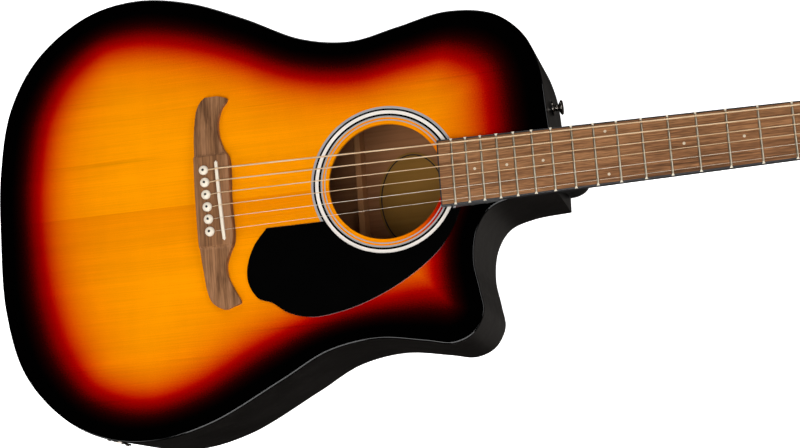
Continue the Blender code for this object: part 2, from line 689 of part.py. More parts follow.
def make_tuners(finish, head):
    """Six enclosed worm-gear tuners: housing, button with its worm, and post with its wheel."""
    face = -HEAD_THICKNESS - GAP
    axis_z = face - GEAR_AXIS_DEPTH
    for name, u, v in tuner_places():
        side = 1 if v > 0 else -1
        worm_u = u + WORM_OFFSET
        centre = (u + 4.2, v, face - HOUSING_DEPTH / 2)
        housing = loft(
            f"tuner_housing_{name}",
            [
                [(x * (12.6 - inset), y * (9 - inset), z) for x, y in ((1, 1), (-1, 1), (-1, -1), (1, -1))]
                for z, inset in ((HOUSING_DEPTH / 2, 0), (-HOUSING_DEPTH / 2 + 2, 0), (-HOUSING_DEPTH / 2, 2))
            ],
            finish["dark_metal"], head, centre,
        )
        cavity = prism(f"cut_cavity_{name}", rectangle(-11, 11, -7.4, 7.4), -4.4, 4.6, None, head, centre)
        worm, lean = (worm_u, v, axis_z), (-side * math.pi / 2, 0, 0)
        hole = circle(POST_RADIUS + 0.5, 12, (u, v))
        post_hole = prism(f"cut_housing_post_{name}", hole, axis_z, 5, None, head)
        shaft_hole = turned(f"cut_shaft_{name}", ((2.4, 0), (2.4, 30)), 10, None, head, worm, lean)
        cut(housing, cavity, post_hole, shaft_hole)
        post = (
            (5.6, axis_z - 2.2), (5.6, axis_z + 2.2), (POST_RADIUS, axis_z + 2.2), (POST_RADIUS, 5.2),
            (2.6, 7.4), (POST_RADIUS, 9.6), (POST_RADIUS, POST_HEIGHT),
        )
        turned(f"string_post_{name}", post, 12, finish["dark_metal"], head, (u, v, 0))
        reach = 36.5 - POST_OFFSET
        button_profile = (
            (2.6, -6.2), (2.6, 6.6), (1.9, 6.6), (1.9, reach + 3), (3.6, reach + 3.4), (3.6, reach + 5.0),
        )
        button = turned(f"tuner_button_{name}", button_profile, 10, finish["dark_metal"], head, worm, lean)
        grip = loft(
            f"join_grip_{name}",
            [
                [(x * wide, y * thick, z) for x, y in circle(1, 12)]
                for z, wide, thick in (
                    (reach + 4, 5, 3.2), (reach + 7, 9, 4.0),
                    (reach + 14, 9.8, 4.2), (reach + 18.5, 6.4, 2.8),
                )
            ],
            None, head, worm, lean,
        )
        join(button, grip)


def make_preamp(finish, guitar, side_bass):
    """Preamp with three knobs, a tuner switch and a battery behind a door."""
    panel = empty("preamp_place", guitar, side_frame(PREAMP_SPOT, PREAMP_HEADING, PREAMP_LEVEL))
    (px, py), (bx, by) = PANEL_HALF, PREAMP_BOX_HALF
    tray = prism("preamp", rectangle(-px, px, -py, py), 1.6, 4.4, finish["plastic"], panel)
    box = prism("join_preamp_box", rectangle(-bx, bx, -by, by), -PREAMP_BOX_DEPTH, 3, None, panel)
    clearance = rectangle(-bx - 2 * GAP, bx + 2 * GAP, -by - 2 * GAP, by + 2 * GAP)
    cut(side_bass, prism("cut_preamp_opening", clearance, -40, 20, None, panel))
    tools = [prism("cut_battery_bay", rectangle(*BATTERY_BAY), -BATTERY_BAY_DEPTH, 30, None, panel)]
    for name, x in KNOB_STATIONS:
        tools.append(prism(f"cut_shaft_{name}", circle(2.3, 14, (x, KNOB_ROW)), -8, 30, None, panel))
        turned(f"knob_{name}", KNOB, 14, finish["plastic"], panel, (x, KNOB_ROW, 0))
    x0, x1, y0, y1 = SWITCH
    well = rectangle(x0 - 0.4, x1 + 0.4, y0 - 0.4, y1 + 0.4)
    tools.append(prism("cut_tuner_switch", well, -8, 30, None, panel))
    join(tray, box)
    cut(tray, *tools)
    prism("tuner_switch", rectangle(*SWITCH), -5, 6, finish["plastic"], panel)
    door = rectangle(-DOOR_HALF_LENGTH, DOOR_HALF_LENGTH, -DOOR_HEIGHT, 1.0)
    prism("battery_door", door, -1.2, 1.0, finish["plastic"], panel, DOOR_HINGE)


def make_jack(finish, guitar, side_treble):
    """Output socket on its plate, with its barrel through the side."""
    plate = empty("jack_place", guitar, side_frame(JACK_SPOT, JACK_HEADING, JACK_LEVEL))
    half_width, half_height = JACK_PLATE_HALF
    face = [(half_width * x, half_height * y) for x, y in circle(1, 24)]
    body = prism("jack_plate", face, 0.1, 1.3, finish["dark_metal"], plate)
    radius = JACK_BARREL_RADIUS
    join(body, turned("join_jack_barrel", ((radius, -24), (radius, 1)), 16, None, plate))
    bore = turned("cut_jack_bore", ((JACK_BORE_RADIUS, -22), (JACK_BORE_RADIUS, 20)), 16, None, plate)
    dish = turned("cut_jack_dish", ((JACK_DISH_RADIUS, -1), (JACK_DISH_RADIUS, 20)), 16, None, plate)
    cut(body, bore, dish)
    opening = ((radius + 0.7, -20), (radius + 0.7, 20))
    cut(side_treble, turned("cut_jack_opening", opening, 16, None, plate))


def side_frame(spot, heading, z):
    """A frame on the wall at the spot: its X along the heading, its Z out of the wall, its Y down."""
    along = Vector((math.cos(heading), math.sin(heading), 0))
    down = Vector((0, 0, -1))
    out = along.cross(down)
    turn = Matrix((along, down, out)).transposed().to_4x4()
    return Matrix.Translation(Vector((spot[0], spot[1], z)) * MM) @ turn


def main():
    for old in list(bpy.data.objects):
        bpy.data.objects.remove(old)
    finish = make_finishes()
    # The back tapers towards the neck, so the whole guitar tips until the back is level.
    tip = math.atan(DEPTH_TAPER)
    rest = Matrix.Translation((0, 0, -back_z(0) * math.cos(tip) * MM)) @ Matrix.Rotation(tip, 4, "Y")
    guitar = empty("instrument", None, rest)
    head_matrix = Matrix.Translation((HEAD_START * MM, 0, 0)) @ Matrix.Rotation(HEAD_ANGLE, 4, "Y")
    head = empty("head_place", guitar, head_matrix)
    outline = spline([*OUTLINE_KNOTS, CORNER], 4)[:-1]
    top, side_bass, side_treble = make_box(finish, guitar, outline)
    bridge_plate = make_braces(finish, guitar)
    make_bridge(finish, guitar, top, bridge_plate)
    make_trim(finish, guitar)
    make_neck(finish, guitar, head)
    make_fingerboard(finish, guitar)
    make_strings(finish, guitar, head_matrix)
    make_tuners(finish, head)
    make_preamp(finish, guitar, side_bass)
    make_jack(finish, guitar, side_treble)


main()
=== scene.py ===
"""The looks of the acoustic guitar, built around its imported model.

Shapes are drawn in the guitar's own millimetres, as in the part's source: X runs along the strings,
from 0 at the nominal saddle line to the nut, +Y is the bass side, Z = 0 is the soundboard's face.
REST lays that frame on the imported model, which rests on its flat back with +Z up.
"""
import math

import bmesh
import bpy
import numpy as np
from mathutils import Matrix, Vector, geometry


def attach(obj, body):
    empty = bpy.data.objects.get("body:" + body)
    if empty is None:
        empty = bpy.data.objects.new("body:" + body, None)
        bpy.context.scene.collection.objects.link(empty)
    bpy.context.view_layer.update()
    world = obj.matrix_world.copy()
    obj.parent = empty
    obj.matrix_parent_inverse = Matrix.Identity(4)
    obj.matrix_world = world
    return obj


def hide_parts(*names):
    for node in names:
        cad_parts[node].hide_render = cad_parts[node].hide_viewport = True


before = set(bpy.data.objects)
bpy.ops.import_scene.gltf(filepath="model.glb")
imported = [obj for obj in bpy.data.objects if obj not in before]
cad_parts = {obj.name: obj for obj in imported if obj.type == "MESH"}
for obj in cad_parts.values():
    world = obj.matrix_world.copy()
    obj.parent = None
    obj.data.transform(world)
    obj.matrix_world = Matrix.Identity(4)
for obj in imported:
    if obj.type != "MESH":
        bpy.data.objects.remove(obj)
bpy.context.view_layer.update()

MM = 0.001
SCALE_LENGTH = 643.0
DEPTH_TAPER = 0.04338
BODY_END = 286.0
DEPTH_AT_NECK = 105.1
TOP_THICKNESS = 3.0
BACK_THICKNESS = 3.0
SIDE_THICKNESS = 2.3
# Profile of the box's outer edges, as (inset, drop): a narrow facet between two eased corners
EDGE_FACET = ((1.0, 0), (0.72, 0.06), (0.52, 0.2), (0.2, 0.52), (0.06, 0.72), (0, 1.0))

BOARD_END = 190.2
BOARD_TOP = 6.5
BOARD_RADIUS = 400.0
BOARD_BOTTOM = 0.3
NUT_WIDTH = 42.7
BOARD_END_WIDTH = 56.7
NUT_LENGTH = 4.7
NUT_TOP = 7.2
BINDING_WIDTH = 1.35
FRET_COUNT = 20

HOLE_X = 143.2
HOLE_RADIUS = 49.6
GUARD_RING_RADIUS = 61.6
SADDLE_CENTRE = (-0.4, -1.2)
SADDLE_LENGTH = 70.5
SADDLE_TOP = 11.2
SADDLE_SLOPE = -0.06
BRIDGE_BLOCK_TOP = 8.3
PIN_LINE_X = -12.3
PIN_LINE_SLOPE = -0.055
STRING_GAUGES = (1.35, 1.07, 0.81, 0.61, 0.41, 0.30)
STRING_COUNT = len(STRING_GAUGES)
SADDLE_STRING_SPACING = 10.8
SADDLE_STRING_SHIFT = -0.5
NUT_STRING_SPACING = 7.0

HEAD_ANGLE = math.radians(14.0)
HEAD_START = 648.3
HEAD_THICKNESS = 14.5
POST_STATIONS = (52.0, 92.0, 132.0)
POST_OFFSET = 23.0
POST_RADIUS = 3.0
POST_HEIGHT = 13.0
WORM_OFFSET = 8.8
HOUSING_DEPTH = 12.0
GEAR_AXIS_DEPTH = 6.3

# The body's outline, from the cutaway's corner at the neck round the bass side and the tail.
# The third number is how far in from that point of the edge the red of the burst turns orange.
CORNER = (285.5, -24, 50)
OUTLINE_KNOTS = (
    CORNER, (286, 3, 51), (284.4, 40, 51), (280.8, 84, 50), (270.2, 112.1, 51.2),
    (246.1, 133.7, 51.2), (206, 141.2, 42.3), (163, 133.6, 37.5), (121, 126.5, 36.4),
    (78, 134.4, 36.1), (26.1, 160.8, 38.3), (-23.9, 182, 41.5), (-73, 190.6, 41.6),
    (-120.2, 182.1, 39.6), (-167.4, 149.8, 41.5), (-194.6, 105.2, 41.6), (-205.7, 48, 40.2),
    (-207.2, -8, 40), (-203.9, -76.1, 45.4), (-187.8, -132.4, 46.9), (-153.5, -173.5, 40.2),
    (-115.3, -194.4, 38.9), (-72, -199.7, 36.4), (-21.7, -189.6, 37.3), (43.4, -158.8, 37.9),
    (84.3, -138.6, 32.1), (127, -132.3, 34), (167.8, -138.5, 44.2), (190.1, -142.4, 47),
    (207.6, -136, 46.9), (218, -119.2, 40.8), (216.3, -99.9, 38.8), (213.1, -76, 36.8),
    (217.6, -50.2, 36.6), (230.2, -33.2, 40.3), (252, -26.3, 50),
)
GUARD_KNOTS = (
    (206, -30), (197, -48), (183, -65), (160, -82), (130, -97), (100, -106),
    (72, -108.7), (52, -103), (38, -93), (27, -88.5), (19, -76), (18, -62), (25, -43), (37, -28.5),
)
# The bridge's rear and front edges, as (y, x), from the bass tip to the treble tip
BRIDGE_REAR = (
    (93.5, -9), (91, -13.5), (87, -17), (80, -20), (62, -22.3), (40, -22.9),
    (0, -23), (-40, -21.7), (-58, -19.9), (-78, -17.4), (-87, -14.3), (-92, -9), (-95, -3),
)
BRIDGE_FRONT = (
    (93.5, -6), (91.2, 3.6), (88.6, 8.8), (80, 3), (68, -0.5), (56, 0), (44, 4),
    (37, 8), (0, 8), (-37, 8.8), (-46, 4.8), (-57, 1), (-68, 2), (-80, 7.2), (-90.2, 11.5),
    (-93, 4.5), (-95, -0.5),
)
HEAD_HALF_OUTLINE = (
    (0, 21.6), (10, 22.3), (26, 29), (42, 35.5), (60, 36.5), (110, 34.4), (150, 34.2), (176, 36.4),
)
HEAD_CROWN = ((184, 27), (188.5, 14), (190, 0), (188.5, -14), (184, -27))
# Sections of the neck's heel, from the top down, as (height, reach, half width)
HEEL = (
    (-2, 68, 25.7), (-8, 62, 25), (-16, 54, 23.8), (-30, 40, 21.4), (-48, 29, 18.2),
    (-66, 23.4, 15.6), (-84, 20.2, 13.6), (-96.5, 18.6, 12.6),
)


def back_z(x):
    """Height of the back's outer face."""
    return -(DEPTH_AT_NECK + (BODY_END - x) * DEPTH_TAPER)


def shift(x, y, z):
    """A move given in millimetres."""
    return Matrix.Translation((x * MM, y * MM, z * MM))


QUARTER = math.pi / 2
TIP = math.atan(DEPTH_TAPER)
REST = shift(0, 0, -back_z(0) * math.cos(TIP)) @ Matrix.Rotation(TIP, 4, "Y")
HEAD = REST @ shift(HEAD_START, 0, 0) @ Matrix.Rotation(HEAD_ANGLE, 4, "Y")


# ---------------------------------------------------------------- shapes in the plane
def spline(points, steps):
    """Points along a smooth centripetal curve through the given ones, of any dimension, ends included."""
    knots = [np.array(p, float) for p in points]
    knots = [2 * knots[0] - knots[1]] + knots + [2 * knots[-1] - knots[-2]]
    curve = []
    for i in range(1, len(knots) - 2):
        p = knots[i - 1 : i + 3]
        t = [0.0]
        for a, b in zip(p, p[1:]):
            t.append(t[-1] + math.sqrt(np.linalg.norm((b - a)[:2])))
        for step in range(steps):
            u = t[1] + (t[2] - t[1]) * step / steps
            a = [p[k] + (p[k + 1] - p[k]) * (u - t[k]) / (t[k + 1] - t[k]) for k in range(3)]
            b = [a[k] + (a[k + 1] - a[k]) * (u - t[k]) / (t[k + 2] - t[k]) for k in range(2)]
            curve.append(tuple(b[0] + (b[1] - b[0]) * (u - t[1]) / (t[2] - t[1])))
    curve.append(tuple(knots[-2]))
    return curve


def left_of(a, b):
    """The unit vector to the left of the way from a to b."""
    length = math.hypot(b[0] - a[0], b[1] - a[1])
    return -(b[1] - a[1]) / length, (b[0] - a[0]) / length


def inset(loop, distance):
    """A closed anticlockwise loop moved inwards by the distance, with mitred corners."""
    normals = [left_of(a, b) for a, b in zip(loop, loop[1:] + loop[:1])]
    moved = []
    for (x, y), (ax, ay), (bx, by) in zip(loop, normals[-1:] + normals[:-1], normals):
        mitre = distance / (1 + ax * bx + ay * by)
        moved.append((x + (ax + bx) * mitre, y + (ay + by) * mitre))
    return moved


def arc(steps, start=0.0, end=math.pi):
    """(cosine, sine) pairs of evenly spaced angles, both ends included."""
    angles = [start + (end - start) * k / steps for k in range(steps + 1)]
    return [(math.cos(a), math.sin(a)) for a in angles]


def circle(radius, sides, centre=(0, 0)):
    angles = [2 * math.pi * i / sides for i in range(sides)]
    return [(centre[0] + radius * math.cos(a), centre[1] + radius * math.sin(a)) for a in angles]


def oval(half_x, half_y, sides, centre=(0, 0)):
    return [(centre[0] + x * half_x, centre[1] + y * half_y) for x, y in circle(1, sides)]


def rectangle(x0, x1, y0, y1, corner=0.0, steps=6):
    """An anticlockwise rectangle, with rounded corners where a radius is given."""
    if corner <= 0:
        return [(x0, y0), (x1, y0), (x1, y1), (x0, y1)]
    loop = []
    left, right, low, high = x0 + corner, x1 - corner, y0 + corner, y1 - corner
    centres = ((right, high), (left, high), (left, low), (right, low))
    for quarter, (cx, cy) in enumerate(centres):
        turn = arc(steps, quarter * QUARTER, (quarter + 1) * QUARTER)
        loop += [(cx + corner * c, cy + corner * s) for c, s in turn]
    return loop


def at(pairs, value):
    """Linear interpolation in a list of (position, value) pairs that falls in position."""
    for (y0, v0), (y1, v1) in zip(pairs, pairs[1:]):
        if y1 <= value <= y0:
            return v0 + (v1 - v0) * (value - y0) / (y1 - y0)
    return pairs[-1][1]


def smoothstep(a, b, value):
    share = min(1.0, max(0.0, (value - a) / (b - a)))
    return share * share * (3 - 2 * share)


def board_width(x):
    """Width of the fingerboard and of the neck under it."""
    return NUT_WIDTH + (BOARD_END_WIDTH - NUT_WIDTH) * (SCALE_LENGTH - x) / (SCALE_LENGTH - BOARD_END)


def fret_x(number):
    """Distance of a fret from the saddle: each step shortens the string by the same ratio."""
    return SCALE_LENGTH * 2 ** (-number / 12)


def crown_z(y, top=BOARD_TOP):
    """Height of the crowned board at a distance from its centreline."""
    return top - y * y / (2 * BOARD_RADIUS)


def string_y(index, spacing):
    """Distance of a string from the centreline, string 0 being the low one on the bass side."""
    return ((STRING_COUNT - 1) / 2 - index) * spacing


def pin_place(index):
    y = string_y(index, SADDLE_STRING_SPACING) + SADDLE_STRING_SHIFT
    return PIN_LINE_X + PIN_LINE_SLOPE * y, y


def tuner_places():
    """Name and place on the head of each tuner, in the order of the strings."""
    places = [(POST_STATIONS[i], POST_OFFSET) for i in range(3)]
    places += [(POST_STATIONS[2 - i], -POST_OFFSET) for i in range(3)]
    return [(str(i + 1), u, v) for i, (u, v) in enumerate(places)]


# ---------------------------------------------------------------- meshes
def grid_into(bm, rings, closed_loop=True, cap_ends=True, join_ends=False):
    """Faces through rings of equal length."""
    layers = [[bm.verts.new([c * MM for c in p]) for p in ring] for ring in rings]
    pairs = list(zip(layers, layers[1:]))
    if join_ends:
        pairs.append((layers[-1], layers[0]))
    elif cap_ends:
        bm.faces.new(layers[0])
        bm.faces.new(layers[-1])
    for low, high in pairs:
        for i in range(len(low) - (0 if closed_loop else 1)):
            j = (i + 1) % len(low)
            bm.faces.new((low[i], low[j], high[j], high[i]))


def fill_into(bm, loops, z, spacing=0.0):
    """A flat face with holes: the first loop is its edge and the others are its holes."""
    points, edges = [], []
    for loop in loops:
        first = len(points)
        points += [Vector(p[:2]) for p in loop]
        edges += [(first + i, first + (i + 1) % len(loop)) for i in range(len(loop))]
    if spacing:
        points += inner_points(loops, spacing)
    found, _, faces, _, _, _ = geometry.delaunay_2d_cdt(points, edges, [], 1, 1e-5)
    level = z if callable(z) else lambda x: z
    verts = [bm.verts.new((p.x * MM, p.y * MM, level(p.x) * MM)) for p in found]
    centres = np.array([np.mean([found[i] for i in face], axis=0) for face in faces])
    dropped = np.zeros(len(faces), bool)
    for hole in loops[1:]:
        dropped |= contains(hole, centres)
    for face, drop in zip(faces, dropped):
        if not drop:
            bm.faces.new([verts[i] for i in face])
    loose = [v for v in verts if not v.link_faces]
    bmesh.ops.delete(bm, geom=loose, context="VERTS")


def contains(loop, points):
    """Which of the points lie inside a closed loop."""
    x, y = np.asarray(points, float).T
    inside = np.zeros(len(x), bool)
    for a, b in zip(loop, loop[1:] + loop[:1]):
        if a[1] != b[1]:
            crossed = (a[1] > y) != (b[1] > y)
            inside ^= crossed & (x < a[0] + (b[0] - a[0]) * (y - a[1]) / (b[1] - a[1]))
    return inside


def distances(points, loop):
    """Distance from each point to the nearest corner of a closed loop."""
    best = np.full(len(points), 1e9)
    for x, y in loop:
        best = np.minimum(best, np.hypot(points[:, 0] - x, points[:, 1] - y))
    return best


def inner_points(loops, spacing):
    """Points on a square grid inside the first loop, clear of every loop."""
    edge = np.array([p[:2] for p in loops[0]])
    low, high = edge.min(0), edge.max(0)
    xs, ys = np.arange(low[0], high[0], spacing), np.arange(low[1], high[1], spacing)
    points = np.stack(np.meshgrid(xs, ys), -1).reshape(-1, 2)
    keep = contains(loops[0], points)
    for loop in loops:
        keep &= distances(points, loop) > spacing * 0.6
    return [Vector(p) for p in points[keep]]


def rounding(radius, steps=4):
    """(inset, drop) pairs round a quarter circle, from the flat face to the upright wall."""
    return [(radius * (1 - s), radius * (1 - c)) for c, s in arc(steps, 0, QUARTER)]


def edge_profile(edge):
    """The (inset, drop) pairs of an edge given as a radius or as the pairs themselves."""
    if edge == 0:
        return [(0, 0)]
    return rounding(edge) if isinstance(edge, float) else list(edge)


def slab_into(bm, outline, low, high, round_top=0.0, round_bottom=0.0, holes=(), spacing=0.0):
    """A plate with eased edges and upright holes, between two heights."""
    lower, upper = (z if callable(z) else (lambda x, z=z: z) for z in (low, high))
    rings = []
    for profile, level, sign in (
        (edge_profile(round_top), upper, -1), (edge_profile(round_bottom)[::-1], lower, 1),
    ):
        for inwards, drop in profile:
            path = inset(outline, inwards)
            rings.append([(x, y, level(x) + sign * drop) for x, y in path])
    grid_into(bm, rings, cap_ends=False)
    for ring, level in ((rings[0], upper), (rings[-1], lower)):
        fill_into(bm, [[(x, y) for x, y, z in ring], *holes], level, spacing)
    for hole in holes:
        grid_into(bm, [[(x, y, level(x)) for x, y in hole] for level in (upper, lower)], cap_ends=False)


def finished(bm, name, sharp=35.0):
    bmesh.ops.remove_doubles(bm, verts=bm.verts, dist=2e-6)
    bmesh.ops.recalc_face_normals(bm, faces=bm.faces)
    mesh = bpy.data.meshes.new(name)
    bm.to_mesh(mesh)
    bm.free()
    mesh.shade_smooth()
    mesh.set_sharp_from_angle(angle=math.radians(sharp))
    return mesh


def added(name, data):
    """A new object in the scene."""
    made = bpy.data.objects.new(name, data)
    bpy.context.collection.objects.link(made)
    return made


def piece(
    name, data, look, slot, replaces=(), body="guitar_body", place=REST, centre=None, turn=None, level=False
):
    """One shown piece, in place on its body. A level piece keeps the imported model's axes for its own."""
    made = added(name, data)
    matrix = place
    if centre is not None:
        matrix = matrix @ shift(*centre)
    if turn is not None:
        matrix = matrix @ turn
    if level:
        data.transform(matrix)
        matrix = Matrix()
    made.matrix_world = matrix
    data.materials.append(FINISHES[look])
    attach(made, body)
    if replaces:
        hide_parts(*replaces)
    if made.type == "MESH":
        weighted = made.modifiers.new("Weighted normals", "WEIGHTED_NORMAL")
        weighted.keep_sharp = True
    return made


def slab(name, outline, low, high, *look, round_top=0.0, round_bottom=0.0, holes=(), spacing=0.0, **where):
    bm = bmesh.new()
    slab_into(bm, outline, low, high, round_top, round_bottom, holes, spacing)
    return piece(name, finished(bm, name), *look, **where)


def loft(name, rings, *look, sharp=35.0, cap_ends=True, join_ends=False, **where):
    """A piece skinned over rings of equal length."""
    bm = bmesh.new()
    grid_into(bm, rings, cap_ends=cap_ends, join_ends=join_ends)
    return piece(name, finished(bm, name, sharp), *look, **where)


def round_rings(profile, sides, loop=circle):
    """Rings round Z from (radius, height) pairs; a radius of 0 closes them in a point."""
    return [[(x, y, height) for x, y in loop(max(radius, 0.001), sides)] for radius, height in profile]


def turned(name, profile, sides, *look, **where):
    return loft(name, round_rings(profile, sides), *look, sharp=40, **where)


def rounded_profile(corners, radius=0.6, steps=3):
    """A (radius, height) profile whose inner corners are rounded."""
    path = [corners[0]]
    for before, corner, after in zip(corners, corners[1:], corners[2:]):
        p, a, b = Vector(corner), Vector(before), Vector(after)
        reach = min(radius, (a - p).length * 0.45, (b - p).length * 0.45)
        start, end = p + (a - p).normalized() * reach, p + (b - p).normalized() * reach
        for i in range(steps + 1):
            t = i / steps
            path.append(tuple(start.lerp(p, t).lerp(p.lerp(end, t), t)))
    path.append(corners[-1])
    return path


# ---------------------------------------------------------------- materials
class NodeTree:
    """The nodes of a material or of the world, built step by step."""

    def __init__(self, owner):
        owner.use_nodes = True
        self.tree = owner.node_tree

    def node(self, kind, inputs=(), **settings):
        made = self.tree.nodes.new(kind)
        for key, value in settings.items():
            setattr(made, key, value)
        for key, value in dict(inputs).items():
            self.feed(made.inputs[key], value)
        return made

    def feed(self, socket, value):
        """Link a socket or set it; a plain colour gets its fourth channel here."""
        if isinstance(value, bpy.types.NodeSocket):
            self.tree.links.new(value, socket)
        else:
            socket.default_value = (*value, 1) if socket.type == "RGBA" else value

    def ramp(self, factor, stops, interpolation="LINEAR"):
        node = self.node("ShaderNodeValToRGB", {"Fac": factor})
        node.color_ramp.interpolation = interpolation
        elements = node.color_ramp.elements
        while len(elements) < len(stops):
            elements.new(1.0)
        for element, (position, colour) in zip(elements, stops):
            element.position = position
            element.color = (*colour, 1)
        return node.outputs["Color"]

    def grey(self, factor, low, high, start=0.3, end=0.7):
        """The factor spread from low at start to high at end."""
        inputs = {"Value": factor, "From Min": start, "From Max": end, "To Min": low, "To Max": high}
        return self.node("ShaderNodeMapRange", inputs).outputs["Result"]

    def blend(self, factor, first, second, blend_type="MIX"):
        inputs = {0: factor, 6: first, 7: second}
        return self.node("ShaderNodeMix", inputs, data_type="RGBA", blend_type=blend_type).outputs[2]

    def times(self, colour, factor):
        """The colour made darker or lighter by a grey factor."""
        return self.blend(1.0, colour, factor, "MULTIPLY")

    def maths(self, operation, a, b):
        return self.node("ShaderNodeMath", {0: a, 1: b}, operation=operation).outputs[0]


class Shader(NodeTree):
    """A material whose colour, roughness and bump come from nodes."""

    def __init__(self, name, roughness, metallic=0.0, specular=0.5, coat=0.0, coat_roughness=0.03):
        self.material = bpy.data.materials.new(name)
        super().__init__(self.material)
        self.surface = self.tree.nodes["Principled BSDF"]
        for socket, value in (
            ("Roughness", roughness), ("Metallic", metallic), ("Specular IOR Level", specular),
            ("Coat Weight", coat), ("Coat Roughness", coat_roughness),
        ):
            self.surface.inputs[socket].default_value = value

    def place(self):
        """The object's own coordinates, in metres."""
        return self.node("ShaderNodeTexCoord").outputs["Object"]

    def noise(self, stretch, scale=1.0, detail=3.0, roughness=0.55, offset=(0, 0, 0), distortion=0.0):
        """Noise in the object's own metres, after a stretch of so many waves per metre along each axis."""
        place = {"Vector": self.place(), "Scale": stretch, "Location": offset}
        mapping = self.node("ShaderNodeMapping", place)
        inputs = {
            "Vector": mapping.outputs["Vector"], "Scale": scale, "Detail": detail,
            "Roughness": roughness, "Distortion": distortion,
        }
        return self.node("ShaderNodeTexNoise", inputs).outputs["Fac"]

    def colour(self, value):
        self.feed(self.surface.inputs["Base Color"], value)
        return self

    def rough(self, factor):
        self.feed(self.surface.inputs["Roughness"], factor)
        return self

    def bump(self, height, distance, strength=1.0):
        inputs = {"Height": height, "Distance": distance, "Strength": strength}
        bump = self.node("ShaderNodeBump", inputs)
        self.feed(self.surface.inputs["Normal"], bump.outputs["Normal"])
        return self


def srgb(*channels):
    """A linear colour from the usual 0 to 255 values."""
    linear = []
    for c in channels:
        c /= 255
        linear.append(c / 12.92 if c <= 0.04045 else ((c + 0.055) / 1.055) ** 2.4)
    return tuple(linear)


def burst_material():
    """Spruce under a burst that goes from black at the edge through red and orange to amber."""
    s = Shader("burst_lacquer", 0.5, specular=0.0, coat=1.0, coat_roughness=0.04)
    share = s.node("ShaderNodeAttribute", attribute_name="burst", attribute_type="GEOMETRY").outputs["Fac"]
    speckle = s.noise((900, 1500, 900), detail=1.0)
    share = s.maths("ADD", share, s.grey(speckle, -0.016, 0.016))
    stops = (
        (0.0, 0, 0, 0), (0.100, 0, 0, 0), (0.137, 9, 0, 0), (0.167, 21, 0, 0), (0.200, 42, 0, 0),
        (0.235, 80, 0, 0), (0.273, 122, 0, 0), (0.310, 150, 0, 0), (0.335, 172, 12, 0),
        (0.360, 184, 40, 0), (0.387, 196, 59, 0), (0.425, 208, 82, 0), (0.470, 217, 102, 0),
        (0.525, 227, 117, 0), (0.600, 234, 129, 0), (0.720, 238, 138, 0), (0.860, 242, 143, 0),
        (1.0, 245, 147, 0),
    )
    tone = s.ramp(share, [(position, srgb(*colour)) for position, *colour in stops])
    y = s.node("ShaderNodeSeparateXYZ", {"Vector": s.place()}).outputs["Y"]
    # The two halves of the top are cut from one board and meet in the middle, a little different in tone.
    halves = s.node("ShaderNodeMapRange", {"Value": y, "From Min": -0.062, "From Max": -0.004})
    treble = s.maths("MULTIPLY", halves.outputs["Result"], s.maths("LESS_THAN", y, 0.0))
    tone = s.times(tone, s.blend(treble, (1, 1, 1), (0.86, 0.77, 1)))
    fine = s.noise((14, 900, 14), detail=2.0)
    broad = s.noise((1.6, 52, 1.6), detail=3.0, offset=(0.3, 0.0, 0.0))
    streak = s.noise((3.2, 150, 3.2), detail=2.0, offset=(2.0, 0.7, 0.0))
    tone = s.times(tone, s.grey(fine, 0.93, 1.04))
    tone = s.times(tone, s.grey(speckle, 0.965, 1.03))
    tone = s.times(tone, s.grey(broad, 0.93, 1.05))
    tone = s.times(tone, s.grey(streak, 0.82, 1.0, 0.27, 0.36))
    silk = s.noise((60, 22, 22), detail=2.0, offset=(0.0, 1.0, 0.0))
    tone = s.times(tone, s.grey(silk, 0.975, 1.02))
    s.colour(tone)
    return s.bump(fine, 0.00004, 0.25).material


def lacquer_material(name, colour, roughness, coat):
    """Solid lacquer with faint sanding haze and the slightest waviness."""
    s = Shader(name, roughness, specular=0.3, coat=coat, coat_roughness=0.08)
    haze = s.noise((35, 35, 35), detail=4.0)
    wave = s.noise((14, 14, 30), detail=1.0)
    tone = s.ramp(haze, ((0.3, colour), (0.7, tuple(c * 1.5 for c in colour))))
    s.colour(s.times(tone, s.grey(wave, 0.9, 1.1)))
    s.rough(s.grey(haze, roughness * 0.85, roughness * 1.2))
    return s.bump(wave, 0.0004, 0.12).material


def walnut_material(name, across, light, middle, dark, seed, contrast):
    """Open-grained walnut. across says which local axis the grain lines are spread over."""

    def grained(long_way, cross_way, **settings):
        stretch = (long_way, cross_way, 300) if across == "y" else (cross_way, long_way, 300)
        return s.noise(stretch, offset=seed, **settings)

    s = Shader(name, 0.6, specular=0.1)
    figure = grained(2.2, 70, detail=4.0, roughness=0.6, distortion=0.25)
    grain = grained(14, 620, detail=4.0, roughness=0.65)
    pores = grained(95, 1600, detail=1.0)
    tone = s.ramp(s.maths("ADD", s.maths("MULTIPLY", figure, 0.65), s.maths("MULTIPLY", grain, 0.35)), (
        (0.38, dark), (0.47, middle), (0.55, light), (0.66, middle),
    ))
    tone = s.times(tone, s.grey(grain, 1 - 0.26 * contrast, 1 + 0.16 * contrast, 0.36, 0.64))
    tone = s.times(tone, s.grey(pores, 1 - 0.34 * contrast, 1 + 0.08 * contrast, 0.36, 0.56))
    s.colour(tone)
    s.rough(s.grey(grain, 0.66, 0.5))
    return s.bump(s.maths("ADD", pores, grain), 0.00012, 0.35).material


def plain_wood_material(name, light, dark, across="y", roughness=0.75):
    s = Shader(name, roughness, specular=0.2)
    stretch = {"y": (4, 160, 60), "x": (160, 4, 60)}[across]
    grain = s.noise(stretch, detail=4.0, roughness=0.6)
    blotch = s.noise((14, 14, 14), detail=3.0)
    s.colour(s.times(s.ramp(grain, ((0.35, dark), (0.65, light))), s.grey(blotch, 0.86, 1.08)))
    return s.bump(grain, 0.0002, 0.3).material


